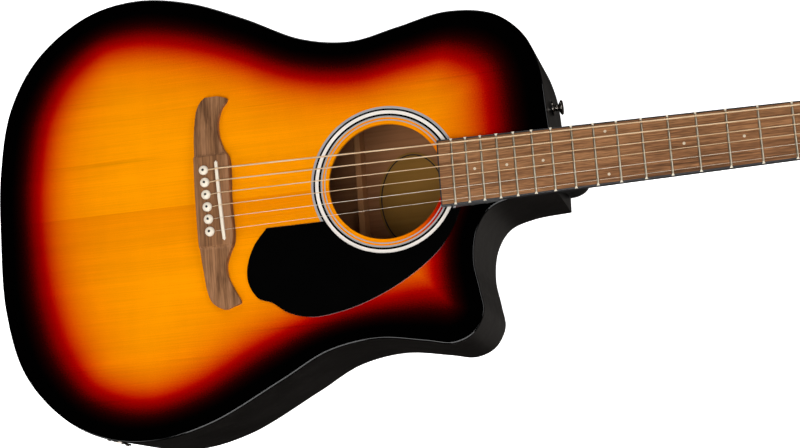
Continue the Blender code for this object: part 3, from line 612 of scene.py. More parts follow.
def metal_material(name, colour, roughness, brushed=(90, 90, 90)):
    s = Shader(name, roughness, metallic=1.0)
    marks = s.noise(brushed, detail=3.0, roughness=0.7)
    s.colour(s.ramp(marks, ((0.35, tuple(c * 0.86 for c in colour)), (0.65, colour))))
    s.rough(s.grey(marks, roughness * 0.8, roughness * 1.35))
    return s.bump(marks, 0.00003, 0.2).material


def wound_material():
    """Bronze winding: fine turns along the string, a little tarnished."""
    s = Shader("bronze_winding", 0.42, metallic=0.3, specular=0.5)
    inputs = {"Vector": s.place(), "Scale": 620.0, "Distortion": 0.0}
    turns = s.node("ShaderNodeTexWave", inputs, bands_direction="X")
    stain = s.noise((30, 200, 200), detail=3.0)
    tone = s.ramp(stain, ((0.35, srgb(203, 169, 130)), (0.65, srgb(226, 197, 158))))
    s.colour(s.times(tone, s.grey(turns.outputs["Fac"], 0.8, 1.05, 0.0, 0.6)))
    return s.bump(turns.outputs["Fac"], 0.0001, 0.6).material


def plastic_material(name, colour, roughness, texture=900.0, relief=0.00006, specular=0.4):
    s = Shader(name, roughness, specular=specular)
    orange_peel = s.noise((texture, texture, texture), detail=2.0)
    cloud = s.noise((40, 40, 40), detail=2.0)
    s.colour(s.ramp(cloud, ((0.3, colour), (0.7, tuple(min(1, c * 1.12) for c in colour)))))
    s.rough(s.grey(cloud, roughness * 0.9, roughness * 1.15))
    return s.bump(orange_peel, relief, 0.3).material


def pearl_material():
    s = Shader("dot_pearl", 0.22, specular=0.6, coat=0.3)
    sheen = s.noise((400, 700, 400), detail=2.0, distortion=1.0)
    stops = ((0.3, srgb(188, 172, 147)), (0.5, srgb(208, 192, 165)), (0.7, srgb(220, 205, 180)))
    s.colour(s.ramp(sheen, stops))
    return s.material


def make_finishes():
    walnut = {"light": srgb(150, 106, 70), "middle": srgb(131, 89, 57), "dark": srgb(101, 67, 42)}
    bridge = {"light": srgb(150, 107, 74), "middle": srgb(130, 90, 59), "dark": srgb(98, 65, 41)}
    finish = {
        "burst": burst_material(),
        "black": lacquer_material("body_lacquer", srgb(16, 13, 11), 0.4, 0.5),
        "neck": lacquer_material("neck_lacquer", srgb(13, 12, 11), 0.45, 0.3),
        "head_face": lacquer_material("head_face_lacquer", srgb(12, 11, 11), 0.16, 1.0),
        "board": walnut_material("board_walnut", "y", seed=(0.0, 0.0, 0.0), contrast=1.0, **walnut),
        "bridge": walnut_material("bridge_walnut", "x", seed=(0.13, 0.37, 0.0), contrast=0.45, **bridge),
        "inner": plain_wood_material("inner_wood", srgb(163, 110, 70), srgb(138, 89, 54)),
        "inner_side": plain_wood_material("inner_lining", srgb(140, 103, 72), srgb(104, 74, 50)),
        "spruce": plain_wood_material("brace_wood", srgb(205, 144, 94), srgb(184, 127, 80), "x"),
        "dark_metal": metal_material("dark_chrome", srgb(112, 106, 100), 0.18),
        "steel": metal_material("string_steel", srgb(225, 212, 192), 0.4, (30, 300, 300)),
        "fret": metal_material("fret_nickel", srgb(190, 181, 160), 0.36, (300, 40, 300)),
        "bronze": wound_material(),
        "pearl": pearl_material(),
        "label": plain_wood_material("label_paper", srgb(150, 108, 46), srgb(141, 100, 40), roughness=0.85),
    }
    for look, name, colour, *surface in (
        ("bone", "bone_white", (224, 212, 192), 0.38, 500.0, 0.00003),
        # The fret ends' cream colour is a painted highlight, standing for the glint on their bevelled metal.
        ("ivory", "ivory_end", (218, 208, 188), 0.3, 500.0, 0.00002),
        ("guard", "guard_black", (2, 2, 2), 0.1, 250.0, 0.00002),
        ("binding", "binding_black", (38, 37, 38), 0.35, 250.0, 0.00002),
        ("dot_black", "dot_black", (14, 13, 13), 0.3),
        ("ring_white", "ring_white", (221, 214, 206), 0.35, 200.0, 0.00002),
        ("ring_black", "ring_black", (1, 1, 1), 0.3, 200.0, 0.00002, 0.05),
        ("ring_grey", "ring_grey", (150, 148, 148), 0.35, 200.0, 0.00002),
        ("plastic", "black_plastic", (30, 30, 31), 0.5),
        ("knob", "knob_plastic", (22, 22, 23), 0.42, 1400.0),
        ("mark", "mark_white", (214, 212, 208), 0.5),
        ("lamp", "lamp_red", (120, 20, 16), 0.2),
        ("ink", "label_ink", (24, 16, 10), 0.7),
    ):
        finish[look] = plastic_material(name, srgb(*colour), *surface)
    return finish


FINISHES = make_finishes()


# ---------------------------------------------------------------- the body
def burst_share(points, outline):
    """How far each point is into the burst, as a share of the nearest edge's width, thrice over in 1."""
    edge = np.array(outline)
    share = np.full(len(points), 9.0)
    for x, y, width in edge:
        share = np.minimum(share, np.hypot(points[:, 0] - x, points[:, 1] - y) / width)
    return share / 3.0


def make_soundboard(outline):
    flat = [(x, y) for x, y, _ in outline]
    hole = circle(HOLE_RADIUS, 128, (HOLE_X, 0))
    top = slab(
        "soundboard_top", flat, -TOP_THICKNESS, 0, "burst", "top_finish",
        round_top=EDGE_FACET, holes=[hole], spacing=3.6, replaces=["soundboard"],
    )
    mesh = top.data
    places = np.empty(len(mesh.vertices) * 3, np.float32)
    mesh.vertices.foreach_get("co", places)
    places = places.reshape(-1, 3) / MM
    burst = mesh.attributes.new("burst", "FLOAT", "POINT")
    burst.data.foreach_set("value", burst_share(places, outline).astype(np.float32))


def make_rosette():
    """Inlaid rings round the soundhole, each a flat band of its own material."""
    bands = (
        ("ring_grey", 65.0, 63.0), ("ring_black", 63.0, 61.4), ("ring_white", 61.4, 58.5),
        ("ring_black", 58.5, 56.7), ("ring_grey", 56.7, 55.2), (None, 55.2, 53.6),
        ("ring_grey", 53.6, 52.6),
    )
    proud = 0.05
    for i, (colour, outer, inner) in enumerate(bands):
        if colour is None:
            continue
        profile = (
            (inner, -0.4), (outer, -0.4), (outer, proud - 0.02), (outer - 0.06, proud),
            (inner + 0.06, proud), (inner, proud - 0.02),
        )
        rings = [[(x, y, z) for x, y in circle(radius, 160, (HOLE_X, 0))] for radius, z in profile]
        replaced = ["rosette"] if i == 0 else ()
        name = f"rosette_band_{i + 1}"
        loft(name, rings, colour, "rosette", join_ends=True, replaces=replaced)


def wall(name, path, replaces, cutter):
    """A bent side, from the back's inner face up to the soundboard's under face."""
    normals = [left_of(a, b) for a, b in zip(path, path[1:])]
    normals = [normals[0]] + normals + [normals[-1]]
    rings = []
    for (x, y), (ax, ay), (bx, by) in zip(path, normals, normals[1:]):
        mitre = SIDE_THICKNESS / (1 + ax * bx + ay * by)
        ix, iy = x + (ax + bx) * mitre, y + (ay + by) * mitre
        low, high = back_z(x) + BACK_THICKNESS, -TOP_THICKNESS
        rings.append([(x, y, low), (ix, iy, low), (ix, iy, high), (x, y, high)])
    made = loft(name, rings, "black", "body_finish", replaces=replaces, level=True)
    cut = made.modifiers.new("Opening", "BOOLEAN")
    cut.object = cutter
    cut.solver = "EXACT"
    made.modifiers.move(1, 0)


def side_frame(spot, heading, z):
    """A frame on the wall at the spot: its X along the heading, its Z out of the wall, its Y down."""
    along = Vector((math.cos(heading), math.sin(heading), 0))
    down = Vector((0, 0, -1))
    turn = Matrix((along, down, along.cross(down))).transposed().to_4x4()
    return REST @ shift(*spot, z) @ turn


def cutter_box(name, place, half_x, half_y, low, high):
    """A hidden tool that cuts an opening."""
    bm = bmesh.new()
    slab_into(bm, rectangle(-half_x, half_x, -half_y, half_y), low, high)
    made = added(name, finished(bm, name))
    made.matrix_world = place
    made.hide_render = True
    made.display_type = "WIRE"
    return made


PANEL = side_frame((165, 134.1), math.radians(13), -54)
JACK = side_frame((-119.3, -193.1), math.radians(160.3), -39)


def make_sides(outline):
    flat = [(x, y) for x, y, _ in outline]
    tail = min(range(len(flat)), key=lambda i: math.dist(flat[i], (-207, -2)))
    bass = flat[: tail + 1]
    treble = flat[tail:] + flat[:1]
    opening = cutter_box("preamp_opening", PANEL, 33.6, 27.6, -40, 20)
    wall("side_bass_wall", bass, ["side_bass"], opening)
    hole = cutter_box("jack_opening", JACK, 5.5, 5.5, -20, 20)
    wall("side_treble_wall", treble, ["side_treble"], hole)
    slab(
        "back_board", flat, back_z, lambda x: back_z(x) + BACK_THICKNESS, "black", "body_finish",
        round_bottom=EDGE_FACET, replaces=["back_plate"], level=True,
    )


def dress_inner_parts():
    """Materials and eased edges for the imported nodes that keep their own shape."""
    looks = {
        "lining_top_bass": "inner_side", "lining_top_treble": "inner_side",
        "lining_back_bass": "inner_side", "lining_back_treble": "inner_side",
        "neck_block": "inner", "tail_block": "inner", "bridge_plate": "inner",
        "top_bracing": "spruce", "back_bracing": "spruce", "truss_rod": "steel",
        "preamp": "plastic", "battery_door": "plastic", "tuner_switch": "knob", "jack_plate": "dark_metal",
    }
    for node, look in looks.items():
        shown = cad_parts[node]
        shown.data.materials.clear()
        shown.data.materials.append(FINISHES[look])
    for node, width in (
        ("preamp", 0.4), ("battery_door", 0.4), ("tuner_switch", 0.4), ("jack_plate", 0.4),
        ("top_bracing", 1.5), ("back_bracing", 4.4),
    ):
        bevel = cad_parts[node].modifiers.new("Edges", "BEVEL")
        bevel.width = width * MM
        bevel.segments = 3
        bevel.limit_method = "ANGLE"


def make_back_lining(outline):
    """The back's inner face, of bare wood, and the oval paper label with its ring."""
    flat = inset([(x, y) for x, y, _ in outline], SIDE_THICKNESS + 0.2)
    floor = BACK_THICKNESS + 0.02
    slab("back_inner_face", flat, lambda x: back_z(x) + BACK_THICKNESS - 0.3, lambda x: back_z(x) + floor,
         "inner", "inner_wood", level=True)
    centre = (144.3, 4.8)
    for name, colour, half_x, half_y, lift in (
        ("label_sheet", "label", 32, 43.9, 1.55), ("label_ring", "ink", 30.3, 42.2, 1.62),
        ("label_field", "label", 29.1, 41, 1.68),
    ):
        slab(name, oval(half_x, half_y, 96, centre), lambda x: back_z(x) + floor + 1.2,
             lambda x, lift=lift: back_z(x) + floor + lift, colour, "inner_wood")


def make_guard():
    """Pickguard: free edge, then the arc that hugs the rosette's white ring."""
    free_edge = spline(GUARD_KNOTS, 10)
    upper = math.asin(-GUARD_KNOTS[-1][1] / GUARD_RING_RADIUS)
    lower = math.asin(-GUARD_KNOTS[0][1] / GUARD_RING_RADIUS)
    radius = GUARD_RING_RADIUS
    hug = [(HOLE_X + radius * c, radius * s) for c, s in arc(60, math.pi + upper, 2 * math.pi - lower)]
    outline = (free_edge + hug)[::-1]
    slab(
        "pickguard_plate", outline, 0.02, 1.2, "guard", "pickguard", round_top=0.15,
        replaces=["pickguard"],
    )


# ---------------------------------------------------------------- bridge
def make_bridge():
    rear, front = spline(BRIDGE_REAR, 8), spline(BRIDGE_FRONT, 8)
    tips = (92.15, -94.75)
    count = 150
    corner = arc(4, 0, QUARTER)
    rings = []
    for i in range(count + 1):
        share = i / count
        # Stations crowd towards the tips, where the outline turns fastest.
        y = (tips[0] + tips[1]) / 2 + (tips[0] - tips[1]) / 2 * math.cos(math.pi * share)
        back, face = at(rear, y), at(front, y)
        wing = 3.6 + 2.2 * smoothstep(95, 46, abs(y))
        crown = wing + (BRIDGE_BLOCK_TOP - wing) * smoothstep(41.2, 39.2, abs(y + 0.4))
        edge = min(1.0, (face - back) / 3)
        ring = [(back, y, 0.02), (face, y, 0.02)]
        ring += [(face - edge * (1 - c), y, crown - edge * (1 - s)) for c, s in corner]
        ring += [(back + edge * (1 - c), y, crown - edge * (1 - s)) for c, s in corner[::-1]]
        rings.append(ring)
    loft("bridge_wood", rings, "bridge", "walnut", replaces=["bridge"])


def make_saddle():
    slant = Matrix.Rotation(math.atan(-SADDLE_SLOPE), 4, "Z")
    half = SADDLE_LENGTH / 2
    rings = []
    for i in range(49):
        y = -half + SADDLE_LENGTH * i / 48
        room = min(1.0, (half - abs(y)) / 1.3)
        end = math.sqrt(max(0.0, room * (2 - room)))
        width = max(1.4 * end, 0.05)
        crown = SADDLE_TOP - y * y / (2 * BOARD_RADIUS) - (1 - end) * 0.5
        ring = [(-width, y, 6.5), (width, y, 6.5)]
        ring += [(width * c, y, crown - 0.7 + 0.7 * s) for c, s in arc(6)]
        rings.append(ring)
    where = {"centre": (*SADDLE_CENTRE, 0), "turn": slant}
    loft("saddle_bone", rings, "bone", "bone", replaces=["saddle"], **where)


def make_pins():
    top = BRIDGE_BLOCK_TOP
    head = [(2.3, 3.0), (2.5, top), (3.9, top + 0.02), (4.2, top + 0.5), (4.15, top + 1.1)]
    head += [(4.15 * c, top + 1.1 + 2.2 * s) for c, s in arc(7, 0, QUARTER)[1:]]
    dot = [(1.15, top + 3.0), (1.1, top + 3.32), (0.7, top + 3.42), (0, top + 3.45)]
    for i in range(STRING_COUNT):
        x, y = pin_place(i)
        turned(
            f"pin_{i + 1}_head", head, 40, "bone", "bone",
            replaces=[f"bridge_pin_{i + 1}"], centre=(x, y, 0),
        )
        turned(f"pin_{i + 1}_dot", dot, 20, "dot_black", "pickguard", centre=(x, y, 0))


# ---------------------------------------------------------------- neck
def make_board():
    """Fingerboard between its two strips of binding, with a bound end."""
    end = SCALE_LENGTH - 0.3
    stations = (BOARD_END, BOARD_END + 1.2, *range(200, 640, 20), end)
    for name, look, edges, start in (
        ("board_wood", "board", (-1, 1), BOARD_END + 1.2),
        ("board_binding_bass", "binding", (1, 2), BOARD_END),
        ("board_binding_treble", "binding", (-2, -1), BOARD_END),
    ):
        rings = []
        for x in [s for s in stations if s >= start]:
            half = board_width(x) / 2
            inner = half - BINDING_WIDTH
            limits = {-2: -half, -1: -inner, 1: inner, 2: half}
            y0, y1 = limits[edges[0]], limits[edges[1]]
            ring = [(x, y0, BOARD_BOTTOM - 0.3), (x, y1, BOARD_BOTTOM - 0.3)]
            round_off = 0.5
            for k in range(17):
                y = y1 + (y0 - y1) * k / 16
                z = crown_z(y)
                gap = min(half - abs(y), round_off)
                z -= round_off - math.sqrt(max(0.0, round_off**2 - (round_off - gap) ** 2))
                ring.append((x, y, z))
            rings.append(ring)
        replaced = ["fingerboard"] if name == "board_wood" else ()
        loft(name, rings, look, "walnut", replaces=replaced)
    half = board_width(BOARD_END) / 2 - BINDING_WIDTH
    rings = []
    for k in range(17):
        y = half - 2 * half * k / 16
        z = crown_z(y)
        front, rear = BOARD_END, BOARD_END + 1.2
        rings.append([(front, y, 0), (rear, y, 0), (rear, y, z), (front + 0.3, y, z), (front, y, z - 0.3)])
    loft("board_binding_end", rings, "binding", "walnut")


def make_frets():
    """Crowned fret wires over the board, each with a smooth end on the binding, whose pale cream colour is a
    painted highlight of the bevelled metal end.
    """
    rise, half_width, sink = 1.0, 1.0, 0.5
    for number in range(1, FRET_COUNT + 1):
        x = fret_x(number)
        half = board_width(x) / 2 - 1.9
        rings = []
        for y in [half * c for c, _ in arc(24)]:
            z = crown_z(y)
            ring = [(x - half_width, y, z - sink), (x + half_width, y, z - sink)]
            rings.append(ring + [(x + half_width * c, y, z + rise * s) for c, s in arc(6)])
        loft(f"fret_{number}", rings, "fret", "rod_steel", sharp=50)
        for side, name in ((1, "bass"), (-1, "treble")):
            outer = board_width(x) / 2 - 0.02
            z = crown_z(outer)
            wedge = [(-0.55, outer - 2.0), (0.55, outer - 2.0), (1.25, outer), (-1.25, outer)][:: side]
            wedge = [(x + u, side * v) for u, v in wedge]
            end = f"fret_{number}_end_{name}"
            # Each fret end is a pale cream nib rather than metal: its colour is a painted highlight of the
            # metal end's glint.
            slab(end, wedge, z - 0.8, z + 0.75, "ivory", "bone", round_top=0.3)


def make_dots():
    spots = [((fret_x(n) + fret_x(n - 1)) / 2, 0, str(n)) for n in (3, 5, 7, 9, 15, 17, 19)]
    middle = (fret_x(12) + fret_x(11)) / 2
    spots += [(middle, side * 18.0, f"12_{name}") for side, name in ((1, "bass"), (-1, "treble"))]
    dot = [(1.2, -0.6), (1.2, 0.02), (1.1, 0.06), (0.6, 0.09), (0, 0.1)]
    for x, y, name in spots:
        turned(f"inlay_dot_{name}", dot, 28, "pearl", "bone", centre=(x, y, crown_z(y)))


def make_nut():
    half = NUT_WIDTH / 2 - 0.15
    rings = []
    for i in range(121):
        y = half - 2 * half * i / 120
        gaps = [
            abs(y - string_y(k, NUT_STRING_SPACING)) - gauge * 0.55 for k, gauge in enumerate(STRING_GAUGES)
        ]
        cut = 0.5 * smoothstep(0.25, -0.05, min(gaps))
        top = NUT_TOP + 0.35 - y * y / (2 * BOARD_RADIUS) - cut
        front, rear = SCALE_LENGTH - 0.3, SCALE_LENGTH + NUT_LENGTH
        ring = [(front, y, 0.2), (rear, y, 0.2)]
        ring += [(rear - 2.6 * (1 - c), y, top - 1.8 * (1 - s)) for c, s in arc(6, 0, QUARTER)]
        ring += [(front + 0.6, y, top), (front + 0.2, y, top - 0.1), (front, y, top - 0.5)]
        rings.append(ring)
    loft("nut_bone", rings, "bone", "bone", replaces=["nut"])


def make_neck():
    """The carved neck: shaft, heel and volute melted into one, with the flat head behind it."""
    first = BODY_END + 0.3
    bm = bmesh.new()
    rings = []
    for i in range(61):
        share = i / 60
        x = first + (HEAD_START + 6 - first) * share
        half = board_width(min(x, SCALE_LENGTH)) / 2 - 0.4
        depth = 17.0 + (14.5 - 17.0) * share
        belly = [(x, half * c, -0.5 - depth * s) for c, s in arc(32)]
        rings.append([(x, half, 0), *belly, (x, -half, 0)])
    grid_into(bm, rings)
    rings = []
    for z, reach, half in spline(HEEL, 6):
        bow = [(first + reach * c**0.9, half * s, z) for c, s in arc(32, QUARTER, -QUARTER)[1:-1]]
        rings.append([(first, half, z), *bow, (first, -half, z)])
    grid_into(bm, rings)
    # The swell behind the nut, as (x, half width, height of its axis, depth)
    swell = (
        (618, 21.4, -5, 7), (634, 21.2, -8, 9.4), (650, 20.8, -10, 10),
        (668, 19, -12.5, 7), (682, 17, -15, 3.5),
    )
    path = spline(swell, 6)
    grid_into(bm, [[(x, half * c, z - drop * s) for c, s in arc(24)] for x, half, z, drop in path])
    mesh = finished(bm, "neck_shaft")
    shaft = piece("neck_shaft", mesh, "neck", "neck_finish", replaces=["neck"], level=True)
    melt = shaft.modifiers.new("Melt", "REMESH")
    melt.mode = "VOXEL"
    melt.voxel_size = 0.0013
    melt.use_smooth_shade = True
    smooth = shaft.modifiers.new("Fair", "SMOOTH")
    smooth.factor = 0.5
    smooth.iterations = 12
    shaft.modifiers.move(0, 2)
    front = first + 0.2
    cap = [(front, 12.5), (front, -12.5)]
    cap += [(front + 18.2 * c**0.9, 12.5 * s) for c, s in arc(24, -QUARTER, QUARTER)[1:-1]]
    slab("heel_cap", cap, -98.6, -96.2, "binding", "neck_finish", round_bottom=0.6)


def make_head():
    """Headstock with its thin glossy face, the six bushings and the truss rod's cover."""
    half_path = spline(HEAD_HALF_OUTLINE, 8)
    crown = spline((HEAD_HALF_OUTLINE[-1], *HEAD_CROWN, (176, -36.4)), 6)[1:-1]
    outline = (half_path + crown + [(u, -v) for u, v in reversed(half_path)])[::-1]
    holes = [circle(4.2, 32, (u, v)) for name, u, v in tuner_places()]
    shape = {"holes": holes, "place": HEAD}
    slab("head_wood", outline, -HEAD_THICKNESS, -1.5, "neck", "neck_finish", round_bottom=2.2, **shape)
    slab("head_veneer", outline, -1.5, 0, "head_face", "neck_finish", round_top=0.5, **shape)
    bush = rounded_profile([(3.5, -1.0), (5.6, -1.0), (5.6, 1.2), (4.6, 2.4), (3.5, 2.4), (3.5, -1.0)], 0.3)
    washer = rounded_profile([(4.0, 0.02), (7.0, 0.02), (7.0, 0.8), (4.0, 0.8), (4.0, 0.02)], 0.3)
    for name, u, v in tuner_places():
        for kind, profile, loop in (("bushing", bush, hexed), ("washer", washer, circle)):
            loft(
                f"{kind}_{name}", round_rings(profile, 48, loop), "dark_metal", "tuner_metal",
                sharp=40, cap_ends=False, place=HEAD, centre=(u, v, 0.02),
            )
    cover = [(4, -7), (26, -11.5), (31, -9), (37, 0), (31, 9), (26, 11.5), (4, 7)]
    slab("rod_cover", cover, 0.02, 1.6, "guard", "pickguard", round_top=0.5, place=HEAD)
    for i, (u, v) in enumerate(((8, 0), (32, 0))):
        screw(f"rod_cover_screw_{i + 1}", HEAD, (u, v, 1.6), 1.7, "tuner_metal")


def hexed(radius, sides):
    """A loop that is a hexagon outside and grows round towards the bore."""
    if radius < 4.6:
        return circle(radius, sides)
    loop = []
    for i in range(sides):
        angle = 2 * math.pi * i / sides
        local = (angle + math.pi / 6) % (math.pi / 3) - math.pi / 6
        reach = radius / math.cos(local) * 0.93
        loop.append((reach * math.cos(angle), reach * math.sin(angle)))
    return loop


def screw(name, place, centre, radius, slot, depth=0.6):
    """A domed screw head with a cross cut in it."""
    dome = [
        (radius, -0.3), (radius, 0.2), (radius * 0.8, depth * 0.8), (radius * 0.45, depth), (0, depth * 1.05)
    ]
    where = {"place": place, "centre": centre}
    turned(name, dome, 24, "dark_metal", slot, **where)
    bm = bmesh.new()
    width, reach = radius * 0.16, radius * 0.62
    for long_x, long_y in ((reach, width), (width, reach)):
        slab_into(bm, rectangle(-long_x, long_x, -long_y, long_y), depth * 0.55, depth * 1.12)
    piece(f"{name}_cross", finished(bm, name), "dot_black", slot, **where)


# ---------------------------------------------------------------- strings and tuners
def curve_piece(name, points, radius, look, slot, sides=3, **where):
    curve = bpy.data.curves.new(name, "CURVE")
    curve.dimensions = "3D"
    curve.bevel_depth = radius * MM
    curve.bevel_resolution = sides
    curve.use_fill_caps = True
    route = curve.splines.new("POLY")
    route.points.add(len(points) - 1)
    for point, place_at in zip(route.points, points):
        point.co = (*[c * MM for c in place_at], 1)
    return piece(name, curve, look, slot, **where)


def make_strings():
    to_body = REST.inverted() @ HEAD
    for i, ((name, u, v), gauge) in enumerate(zip(tuner_places(), STRING_GAUGES)):
        radius = gauge / 2
        pin_x, y = pin_place(i)
        side = 1 if v > 0 else -1
        saddle_x = SADDLE_CENTRE[0] + SADDLE_SLOPE * (y - SADDLE_CENTRE[1])
        nut_y = string_y(i, NUT_STRING_SPACING)
        saddle_top = SADDLE_TOP - y * y / (2 * BOARD_RADIUS) + radius - 0.05
        nut_top = NUT_TOP + 0.1 - nut_y * nut_y / (2 * BOARD_RADIUS) + radius
        wrap = POST_RADIUS - 0.25 + radius
        post = to_body @ Vector((u * MM, (v - side * wrap) * MM, 6.6 * MM)) / MM
        path = spline(
            [
                (pin_x + 2.6, y, 6.8), (pin_x + 4.6, y, BRIDGE_BLOCK_TOP + radius),
                (saddle_x - 1.6, y, saddle_top - 0.75), (saddle_x - 0.4, y, saddle_top - 0.05),
                (saddle_x + 0.9, y, saddle_top - 0.02),
            ],
            5,
        )
        for x in [saddle_x + 0.9 + (SCALE_LENGTH - saddle_x - 0.9) * k / 40 for k in range(1, 41)]:
            share = (x - saddle_x) / (SCALE_LENGTH - saddle_x)
            path.append((x, y + (nut_y - y) * share, saddle_top + (nut_top - saddle_top) * share))
        path += [(SCALE_LENGTH + 2.0, nut_y, nut_top - 0.1)]
        path += [(SCALE_LENGTH + NUT_LENGTH, nut_y, nut_top - 0.8), tuple(post)]
        look = ("bronze", "wound_string") if i < 4 else ("steel", "plain_string")
        curve_piece(f"string_line_{name}", path, radius, *look, replaces=[f"string_{name}"])
        turns = 3 if i < 3 else 5
        pitch = gauge * 1.06
        coil = arc(turns * 28, -side * QUARTER, -side * (QUARTER + 2 * math.pi * turns))
        coil = [(wrap * c, wrap * s, 6.6 - pitch * k / 28) for k, (c, s) in enumerate(coil)]
        end = coil[-1]
        coil.append((end[0] * 0.6, end[1] * 0.6, end[2]))
        curve_piece(
            f"string_wrap_{name}", coil, radius, *look, sides=2,
            body=f"post_{name}", place=HEAD, centre=(u, v, 0),
        )


def make_tuners():
    """Six sealed tuners: housing, collar, screws, the post on its body and the button on its own."""
    metal = ("dark_metal", "tuner_metal")
    face = -HEAD_THICKNESS
    cover = face - 0.3 - HOUSING_DEPTH
    reach = 36.5 - POST_OFFSET
    shell = rectangle(-12.5, 12.5, -8.9, 8.9, 3.2)
    collar = rounded_profile([(2.0, 8.2), (4.6, 8.2), (4.6, 9.6), (3.6, 11.2), (2.2, 11.2)], 0.4)
    post = rounded_profile(
        [
            (0.02, face - 2), (POST_RADIUS, face - 2), (POST_RADIUS, 5.2), (2.6, 7.4),
            (POST_RADIUS, 9.6), (POST_RADIUS, POST_HEIGHT), (0.02, POST_HEIGHT),
        ],
        0.5,
    )
    stem = rounded_profile(
        [(1.9, 8.6), (1.9, reach + 2.4), (3.4, reach + 2.6), (3.4, reach + 4.4), (2.4, reach + 5.2)], 0.3
    )
    # The button's sections, as (height, half width, half thickness)
    sections = (
        (reach + 4.0, 3.2, 2.4), (reach + 6.0, 7.4, 3.6), (reach + 9.5, 9.6, 4.1),
        (reach + 13.5, 9.6, 4.0), (reach + 16.8, 7.0, 3.2), (reach + 18.3, 3.4, 1.8),
    )
    upside_down = Matrix.Rotation(math.pi, 4, "X")
    for name, u, v in tuner_places():
        side = 1 if v > 0 else -1
        lean = Matrix.Rotation(-side * math.pi / 2, 4, "X")
        worm = (u + WORM_OFFSET, v, face - 0.3 - GEAR_AXIS_DEPTH)
        on_worm = {"place": HEAD, "centre": worm, "turn": lean}
        slab(
            f"housing_{name}", shell, cover + 0.05, face, *metal, round_bottom=2.4, round_top=0.2,
            replaces=[f"tuner_housing_{name}"], place=HEAD, centre=(u + 4.2, v, 0),
        )
        turned(f"collar_{name}", collar, 32, *metal, **on_worm)
        tab = (u - 9.6, v + side * 8.2)
        slab(
            f"tuner_tab_{name}", oval(4.4, 3.4, 32), face - 1.6, face, *metal, round_bottom=0.4,
            place=HEAD, centre=(*tab, 0),
        )
        spots = (("tuner", (*tab, face - 1.6), 0.0, 2.1), ("gear", (u, v, cover), -0.25, 2.6))
        for kind, spot, sink, radius in spots:
            under = HEAD @ shift(*spot) @ upside_down
            screw(f"{kind}_screw_{name}", under, (0, 0, sink), radius, "tuner_metal")
        turned(
            f"post_metal_{name}", post, 40, *metal, replaces=[f"string_post_{name}"],
            body=f"post_{name}", place=HEAD, centre=(u, v, 0),
        )
        bm = bmesh.new()
        grid_into(bm, round_rings(stem, 32))
        button = spline(sections, 5)
        grid_into(bm, [[(x * wide, y * thick, z) for x, y in circle(1, 40)] for z, wide, thick in button])
        piece(
            f"button_metal_{name}", finished(bm, "button", 50), *metal,
            replaces=[f"tuner_button_{name}"], body=f"button_{name}", **on_worm,
        )


# ---------------------------------------------------------------- hardware on the sides
def make_strap_buttons():
    felt = rounded_profile([(0.02, 0.02), (6.5, 0.02), (6.5, 0.8), (0.02, 0.8)], 0.3)
    metal = rounded_profile(
        [
            (6.2, 0.8), (6.2, 1.7), (2.8, 2.7), (2.5, 5.4), (6.2, 7.5),
            (6.5, 8.3), (6.0, 9.3), (3.0, 9.6), (2.4, 9.2), (0.02, 9.2),
        ],
        0.6,
    )
    for name, spot, sign in (("neck", (284.4, 54.4, -38), 1), ("tail", (-207.9, -5, -60), -1)):
        lean = Matrix.Rotation(sign * math.pi / 2, 4, "Y")
        turned(f"strap_felt_{name}", felt, 40, "guard", "strap_metal", centre=spot, turn=lean)
        turned(
            f"strap_metal_{name}", metal, 48, "dark_metal", "strap_metal",
            replaces=[f"strap_button_{name}"], centre=spot, turn=lean,
        )


def ribbed(radius, sides):
    """A loop with the 24 fine ribs of a knob's grip, which fade out on its top face."""
    loop = []
    for i in range(sides):
        angle = 2 * math.pi * i / sides
        reach = radius + (0.18 * math.cos(24 * angle) if radius > 6 else 0)
        loop.append((reach * math.cos(angle), reach * math.sin(angle)))
    return loop


def make_preamp_details():
    """Knobs with their pointers and dotted scales, the tuner's window and lamp, screws and door ribs."""
    knob = rounded_profile([(2, 4.5), (6.2, 4.5), (6.2, 8.0), (5.4, 8.8), (0.02, 8.8)], 0.5)
    dot = [(0.42, -0.1), (0.42, 0.05), (0.02, 0.06)]
    for name, x in (("volume", -24), ("treble", 0), ("bass", 24)):
        on_knob = {"body": f"knob_{name}", "place": PANEL, "centre": (x, -21, 0)}
        loft(
            f"knob_grip_{name}", round_rings(knob, 96, ribbed), "knob", "electronics",
            sharp=50, replaces=[f"knob_{name}"], **on_knob,
        )
        pointer = rectangle(-0.4, 0.4, -5.6, -1.6, 0.3, 3)
        slab(f"knob_pointer_{name}", pointer, 8.6, 8.84, "mark", "electronics", **on_knob)
        for k in range(11):
            angle = math.radians(-225 + 27 * k)
            spot = (x + 8.4 * math.cos(angle), -21 + 8.4 * math.sin(angle), 4.4)
            turned(f"scale_dot_{name}_{k + 1}", dot, 12, "mark", "electronics", place=PANEL, centre=spot)
    window = rectangle(-14, 4, -10.6, -4.4, 1.2)
    slab("tuner_window", window, 4.3, 4.75, "guard", "electronics", round_top=0.2, place=PANEL)
    lens = [(1.2, 4.3), (1.2, 4.7), (0.8, 5.2), (0.02, 5.4)]
    turned("power_lamp", lens, 20, "lamp", "electronics", place=PANEL, centre=(22.5, -7.5, 0))
    for i, (x, y) in enumerate(((-35, -28), (35, -28), (-35, 28), (35, 28))):
        screw(f"panel_screw_{i + 1}", PANEL, (x, y, 4.4), 1.8, "electronics")
    hinge = (0, 24.0, 3.2)
    for k in range(5):
        y = -21 + k * 3.2
        slab(
            f"door_rib_{k + 1}", rectangle(-8, 8, y - 0.6, y + 0.6, 0.5, 3), 0.95, 1.4,
            "plastic", "electronics", round_top=0.3, body="battery_door", place=PANEL, centre=hinge,
        )


